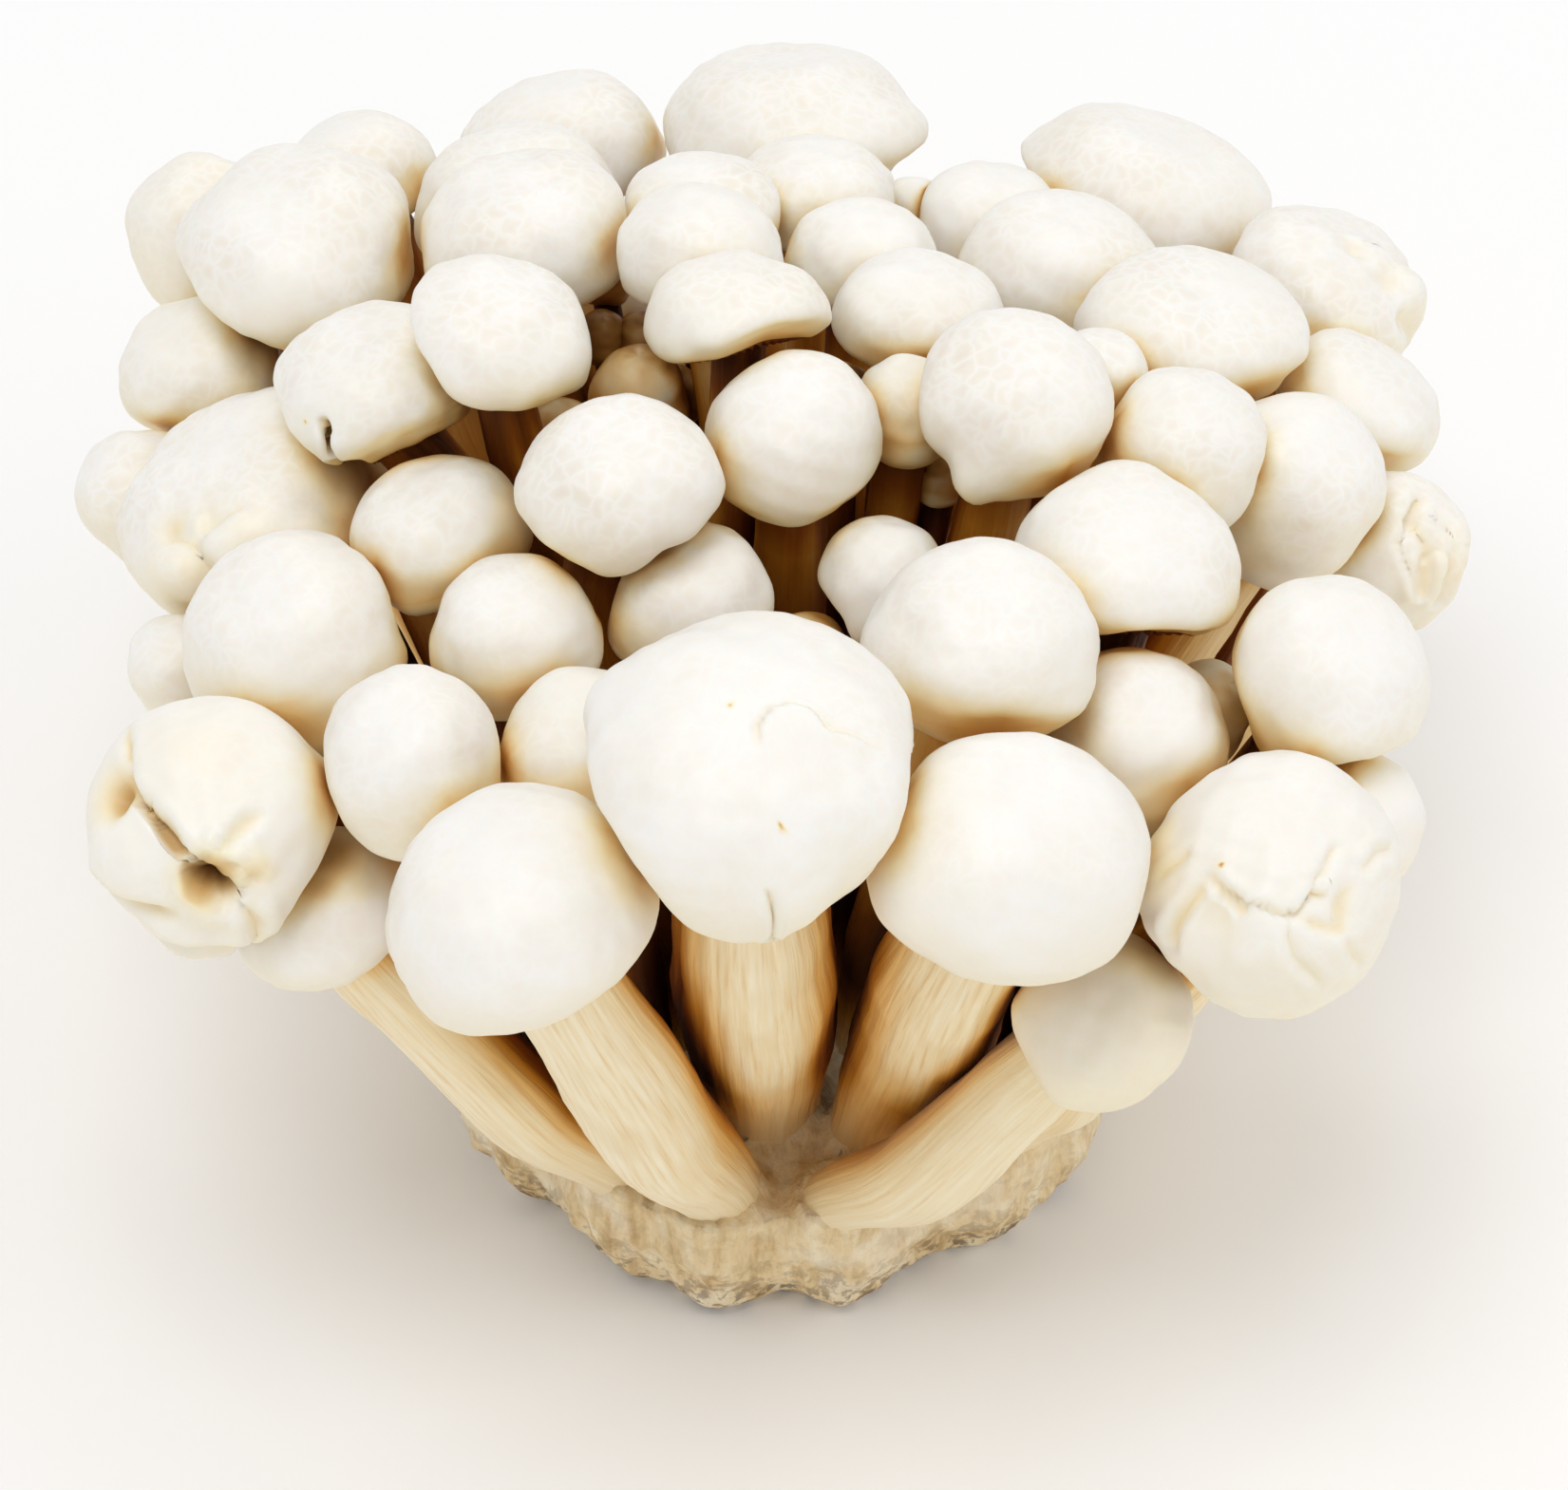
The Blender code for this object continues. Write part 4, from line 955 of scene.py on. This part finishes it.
def web_lines(tree, place):
    """Spots that a bent web of clear lines parts, from 0 on a line to 1 in a spot."""
    inputs = {"Vector": place, "Scale": WEB_BEND_SCALE, "Detail": 1.0}
    bend = add(tree, "ShaderNodeTexNoise", inputs).outputs["Color"]
    moved = vector_node(tree, "ADD", place, vector_node(tree, "MULTIPLY", bend, (WEB_BEND,) * 3))
    inputs = {"Vector": moved, "Scale": WEB_SCALE}
    cells = add(tree, "ShaderNodeTexVoronoi", inputs, feature="DISTANCE_TO_EDGE").outputs[0]
    return ramp(tree, cells, WEB_SPOTS)


def cap_skin():
    made, tree, shader = node_tree("cap_skin")
    spots = web_lines(tree, place_of(tree))
    cloud = attribute(tree, "cloud")
    edge = attribute(tree, "edge")
    clear = math_node(tree, "MULTIPLY", attribute(tree, "web"), ramp(tree, edge, WEB_ACROSS))
    ground = mix(tree, ramp(tree, edge, CROWN_SHOWS), ramp(tree, cloud, CAP_GROUND), CAP_CROWN)
    strength = math_node(tree, "MULTIPLY", math_node(tree, "MULTIPLY", spots, clear), WEB_STRENGTH)
    colour = mix(tree, strength, ground, ramp(tree, cloud, CAP_SPOT))
    # Painted shade on skin that faces down
    facing = upward(tree, tree.nodes.new("ShaderNodeNewGeometry").outputs["Normal"])
    facing = math_node(tree, "ADD", math_node(tree, "MULTIPLY", facing, 0.5), 0.5)
    colour = mix(tree, ramp(tree, facing, PAINTED_UNDER_SHADE_SHOWS), colour, CAP_PAINTED_UNDER_SHADE)
    # The rim's own warmer tone with painted shade
    colour = mix(tree, ramp(tree, edge, RIM_TONE_AND_SHADE_SHOWS), colour, CAP_RIM_TONE_AND_SHADE)
    # Painted shade where neighbours come near
    flesh(tree, shader, shaded(tree, colour, "near", NEAR_PAINTED_SHADE_STOPS), CAP_ROUGHNESS, CAP_FLESH)
    return made


def stem_skin():
    made, tree, shader = node_tree("stem_skin")
    drawn = vector_node(tree, "MULTIPLY", attribute(tree, "fibre", "Vector"), (1.0, 1.0, STEM_DRAWN))
    streak = noise(tree, drawn, *STEM_PATTERN)
    clouded = ramp(tree, attribute(tree, "cloud"), CLOUD_SHOWS)
    colour = mix(tree, clouded, ramp(tree, streak, STEM_STREAK), STEM_CLOUD)
    low = math_node(tree, "MULTIPLY", upward(tree, place_of(tree)), 1 / STEM_LOW_TO, clamp=True)
    colour = mix(tree, ramp(tree, low, LOW_SHOWS), colour, STEM_LOW)
    flesh(tree, shader, shaded(tree, colour), STEM_ROUGHNESS)
    bump(tree, shader, streak, STEM_BUMP)
    return made


def gill_skin():
    made, tree, shader = node_tree("gill_skin")
    colour = ramp(tree, noise(tree, place_of(tree), *GILL_PATTERN), GILL)
    flesh(tree, shader, shaded(tree, colour), GILL_ROUGHNESS)
    return made


def base_skin():
    made, tree, shader = node_tree("base_flesh")
    place = place_of(tree)
    drawn = vector_node(tree, "MULTIPLY", place, (1.0, 1.0, BASE_DRAWN))
    streak = noise(tree, drawn, *BASE_PATTERN)
    mould = ramp(tree, noise(tree, place, *MOULD_PATTERN), MOULD_SHOWS)
    colour = mix(tree, mould, ramp(tree, streak, BASE_STREAK), BASE_MOULD)
    low = math_node(tree, "MULTIPLY", upward(tree, place), 1 / FLECKS_TO, clamp=True)
    flecks = ramp(tree, noise(tree, place, *FLECK_PATTERN), FLECKS_SHOW)
    flecks = math_node(tree, "MULTIPLY", flecks, ramp(tree, low, FLECKS_LOW))
    colour = mix(tree, flecks, colour, BASE_FLECK)
    flesh(tree, shader, shaded(tree, colour), BASE_ROUGHNESS)
    bump(tree, shader, streak, BASE_BUMP)
    return made


# The base

BASE_COLUMNS, BASE_SIDE_ROWS, BASE_TOP_ROWS = 300, 26, 34
BASE_INSET = 0.05  # how far in mm the side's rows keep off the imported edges
SIDE_SMOOTHINGS = 3
STEM_LEAVES = 17.5  # the height in mm up to which the base grows up its stems
COLLAR, COLLAR_SOFT = 4.2, 1.7  # how far it grows up a stem, and over what distance that fades
FLARE, FLARE_SOFT = 1.6, 1.8  # the same for how far its side goes out there
FLARE_ROWS = 7  # rows down the side over which both end
FLAT_WITHIN = 0.2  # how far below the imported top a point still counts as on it

# The waves of the base's top and side: height, length and seed. The side's are drawn out upright too,
# by their second number, and fade towards its edges
TOP_WAVES = ((0.5, 4.5, 31), (0.25, 1.9, 32))
SIDE_WAVES = ((0.55, 0.45, 6.0, 33), (0.3, 0.5, 2.4, 34))
SIDE_FADE = 0.25
TOP_RISE = 0.4  # how far the middle of the top stands up


def leaves_base(m):
    """Where a stem comes out of the base, and how thick it is there."""
    heights = m.grid[m.stem_row :].mean(axis=1)[:, 2]
    ring = m.grid[m.stem_row + np.abs(heights - STEM_LEAVES).argmin()]
    spot = ring.mean(axis=0)
    return spot, np.linalg.norm((ring - spot)[:, :2], axis=1).mean()


def base_surface(stems):
    """The base's fine surface, in rows from the middle of its top, out and down its side."""
    points, triangles = merged("base")
    low, high = points.min(axis=0), points.max(axis=0)
    middle = (low + high) / 2
    tree = BVHTree.FromPolygons(points.tolist(), triangles.tolist())
    heights = np.linspace(high[2] - BASE_INSET, low[2] + BASE_INSET, BASE_SIDE_ROWS)
    side = np.zeros((BASE_SIDE_ROWS, BASE_COLUMNS, 3))
    for i, height in enumerate(heights):
        start = Vector((middle[0], middle[1], height))
        for j, turn in enumerate(bearings(BASE_COLUMNS)):
            side[i, j] = tree.ray_cast(start, Vector((math.cos(turn), math.sin(turn), 0)))[0]
    for _ in range(SIDE_SMOOTHINGS):
        side = smoothed(side, 1)
    centre = np.array([middle[0], middle[1], high[2]])
    shares = np.linspace(0, 1, BASE_TOP_ROWS, endpoint=False)[1:, None, None]
    top = centre + (side[0] - centre) * shares
    top[..., 2] = high[2]
    grid = np.concatenate([top, side])
    near = np.full(grid.shape[:2], FAR)
    for spot, radius in stems:
        near = np.minimum(near, np.linalg.norm(grid[..., :2] - spot[:2], axis=2) - radius)
    near = np.maximum(near, 0)
    flat = grid[..., 2] > high[2] - FLAT_WITHIN
    rough = sum(high_by * lumps(grid, size, seed) for high_by, size, seed in TOP_WAVES)
    last = len(top)
    share = np.ones(len(grid))
    share[last:] = np.clip(1 - np.arange(len(side)) / FLARE_ROWS, 0, 1)
    grid[..., 2] += (COLLAR * np.exp(-near / COLLAR_SOFT) + rough * flat) * share[:, None]
    out = unit((grid - centre) * np.array([1, 1, 0.0]))
    flare = FLARE * np.exp(-near / FLARE_SOFT) * share[:, None]
    flare[:last] = 0
    grid += out * flare[..., None]
    push = sum(
        high_by * lumps(grid * np.array([1, 1, drawn]), size, seed)
        for high_by, drawn, size, seed in SIDE_WAVES
    )
    fade = np.zeros(len(grid))
    fade[last:] = np.sin(np.linspace(SIDE_FADE, math.pi - SIDE_FADE, BASE_SIDE_ROWS))
    grid += out * (push * fade[:, None])[..., None]
    grid[-1, :, 2] = low[2]
    return centre + np.array([0, 0, TOP_RISE]), grid, np.array([middle[0], middle[1], low[2]])


def base_object(centre, grid, below, finish):
    """The base as one object, closed in the middle of its top and of its cut face."""
    rows, count = grid.shape[:2]
    points = np.concatenate([centre[None], grid.reshape(-1, 3), below[None]])
    column = np.arange(count)
    after = (column + 1) % count
    lid = np.column_stack([np.zeros_like(column), 1 + column, 1 + after])
    last = 1 + (rows - 1) * count
    foot = np.column_stack([last + column, np.full(count, len(points) - 1), last + after])
    faces = [*lid.tolist(), *quads_between(rows, count, 1), *foot.tolist()]
    mesh = bpy.data.meshes.new("base_fine")
    mesh.from_pydata((points * MM).tolist(), [], faces)
    mesh.shade_smooth()
    mesh.attributes.new("deep", "FLOAT", "POINT")
    mesh.materials.append(finish)
    return link("base_fine", mesh)


# The scene

FLOOR_HALF, FLOOR_WHITE, FLOOR_ROUGHNESS = 4.0, 0.96, 0.9
ROOM_LIGHT = 0.68
LIT_POINT = (0, 0, 0.06)

# Each lamp's place and size in metres, and its power in watts
LAMPS = {
    "key": ((-0.15, -0.35, 1.22), 0.6, 4.7),
    "side": ((0.9, -0.2, 0.7), 0.8, 1.3),
    "back": ((0.1, 0.9, 0.9), 0.9, 1.5),
}


def turned_to(thing, point):
    """Turns a lamp or a camera towards a point."""
    thing.rotation_euler = (Vector(point) - thing.location).to_track_quat("-Z", "Y").to_euler()


def studio():
    """A plain floor in a soft white room with three lamps."""
    floor_mesh = bpy.data.meshes.new("floor")
    corners = [(x * FLOOR_HALF, y * FLOOR_HALF, 0) for x, y in ((-1, -1), (1, -1), (1, 1), (-1, 1))]
    floor_mesh.from_pydata(corners, [], [(0, 1, 2, 3)])
    made, tree, shader = node_tree("floor_white")
    fill(tree, shader, {"Base Color": rgba(FLOOR_WHITE), "Roughness": FLOOR_ROUGHNESS})
    floor_mesh.materials.append(made)
    floor = link("floor", floor_mesh)
    world = bpy.data.worlds.new("soft_room")
    world.use_nodes = True
    tree = world.node_tree
    fill(tree, tree.nodes["Background"], {"Color": rgba(1.0), "Strength": ROOM_LIGHT})
    bpy.context.scene.world = world
    for name, (place, size, energy) in LAMPS.items():
        light = bpy.data.lights.new(name, "AREA")
        light.shape, light.size, light.energy = "DISK", size, energy
        lamp = link(name, light)
        lamp.location = place
        turned_to(lamp, LIT_POINT)


def camera():
    rise = math.radians(RISE)
    lens = bpy.data.cameras.new("camera")
    lens.sensor_fit, lens.sensor_width = "HORIZONTAL", SENSOR
    lens.lens = FOCAL_LENGTH / PHOTO_WIDTH * SENSOR
    lens.clip_start = NEAREST
    seer = link("camera", lens)
    seer.location = Vector(AIM) + Vector((0, -math.cos(rise), math.sin(rise))) * DISTANCE
    turned_to(seer, AIM)
    bpy.context.scene.camera = seer


def main():
    studio()
    camera()
    bpy.context.scene.view_settings.view_transform = "Standard"
    by_node, all_mushrooms = {}, []
    for node in sorted(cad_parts):
        if node == "base":
            continue
        found, foot = mushrooms_of(node)
        by_node[node] = []
        for crown, rings in found:
            by_node[node].append(Mushroom(node, len(all_mushrooms), crown, rings, foot))
            all_mushrooms.append(by_node[node][-1])
    centre, grid, below = base_surface([leaves_base(m) for m in all_mushrooms])
    shade_deep(all_mushrooms, grid)
    finishes = [cap_skin(), gill_skin(), stem_skin()]
    for node, parts in by_node.items():
        for m in parts:
            form(m)
            shape_skin(m)
        fine = mesh_of(node + "_fine", parts, finishes)
        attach(fine, "root")
        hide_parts(node)
    fine = base_object(centre, grid, below, base_skin())
    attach(fine, "root")
    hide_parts("base")


main()
bpy.context.view_layer.update()
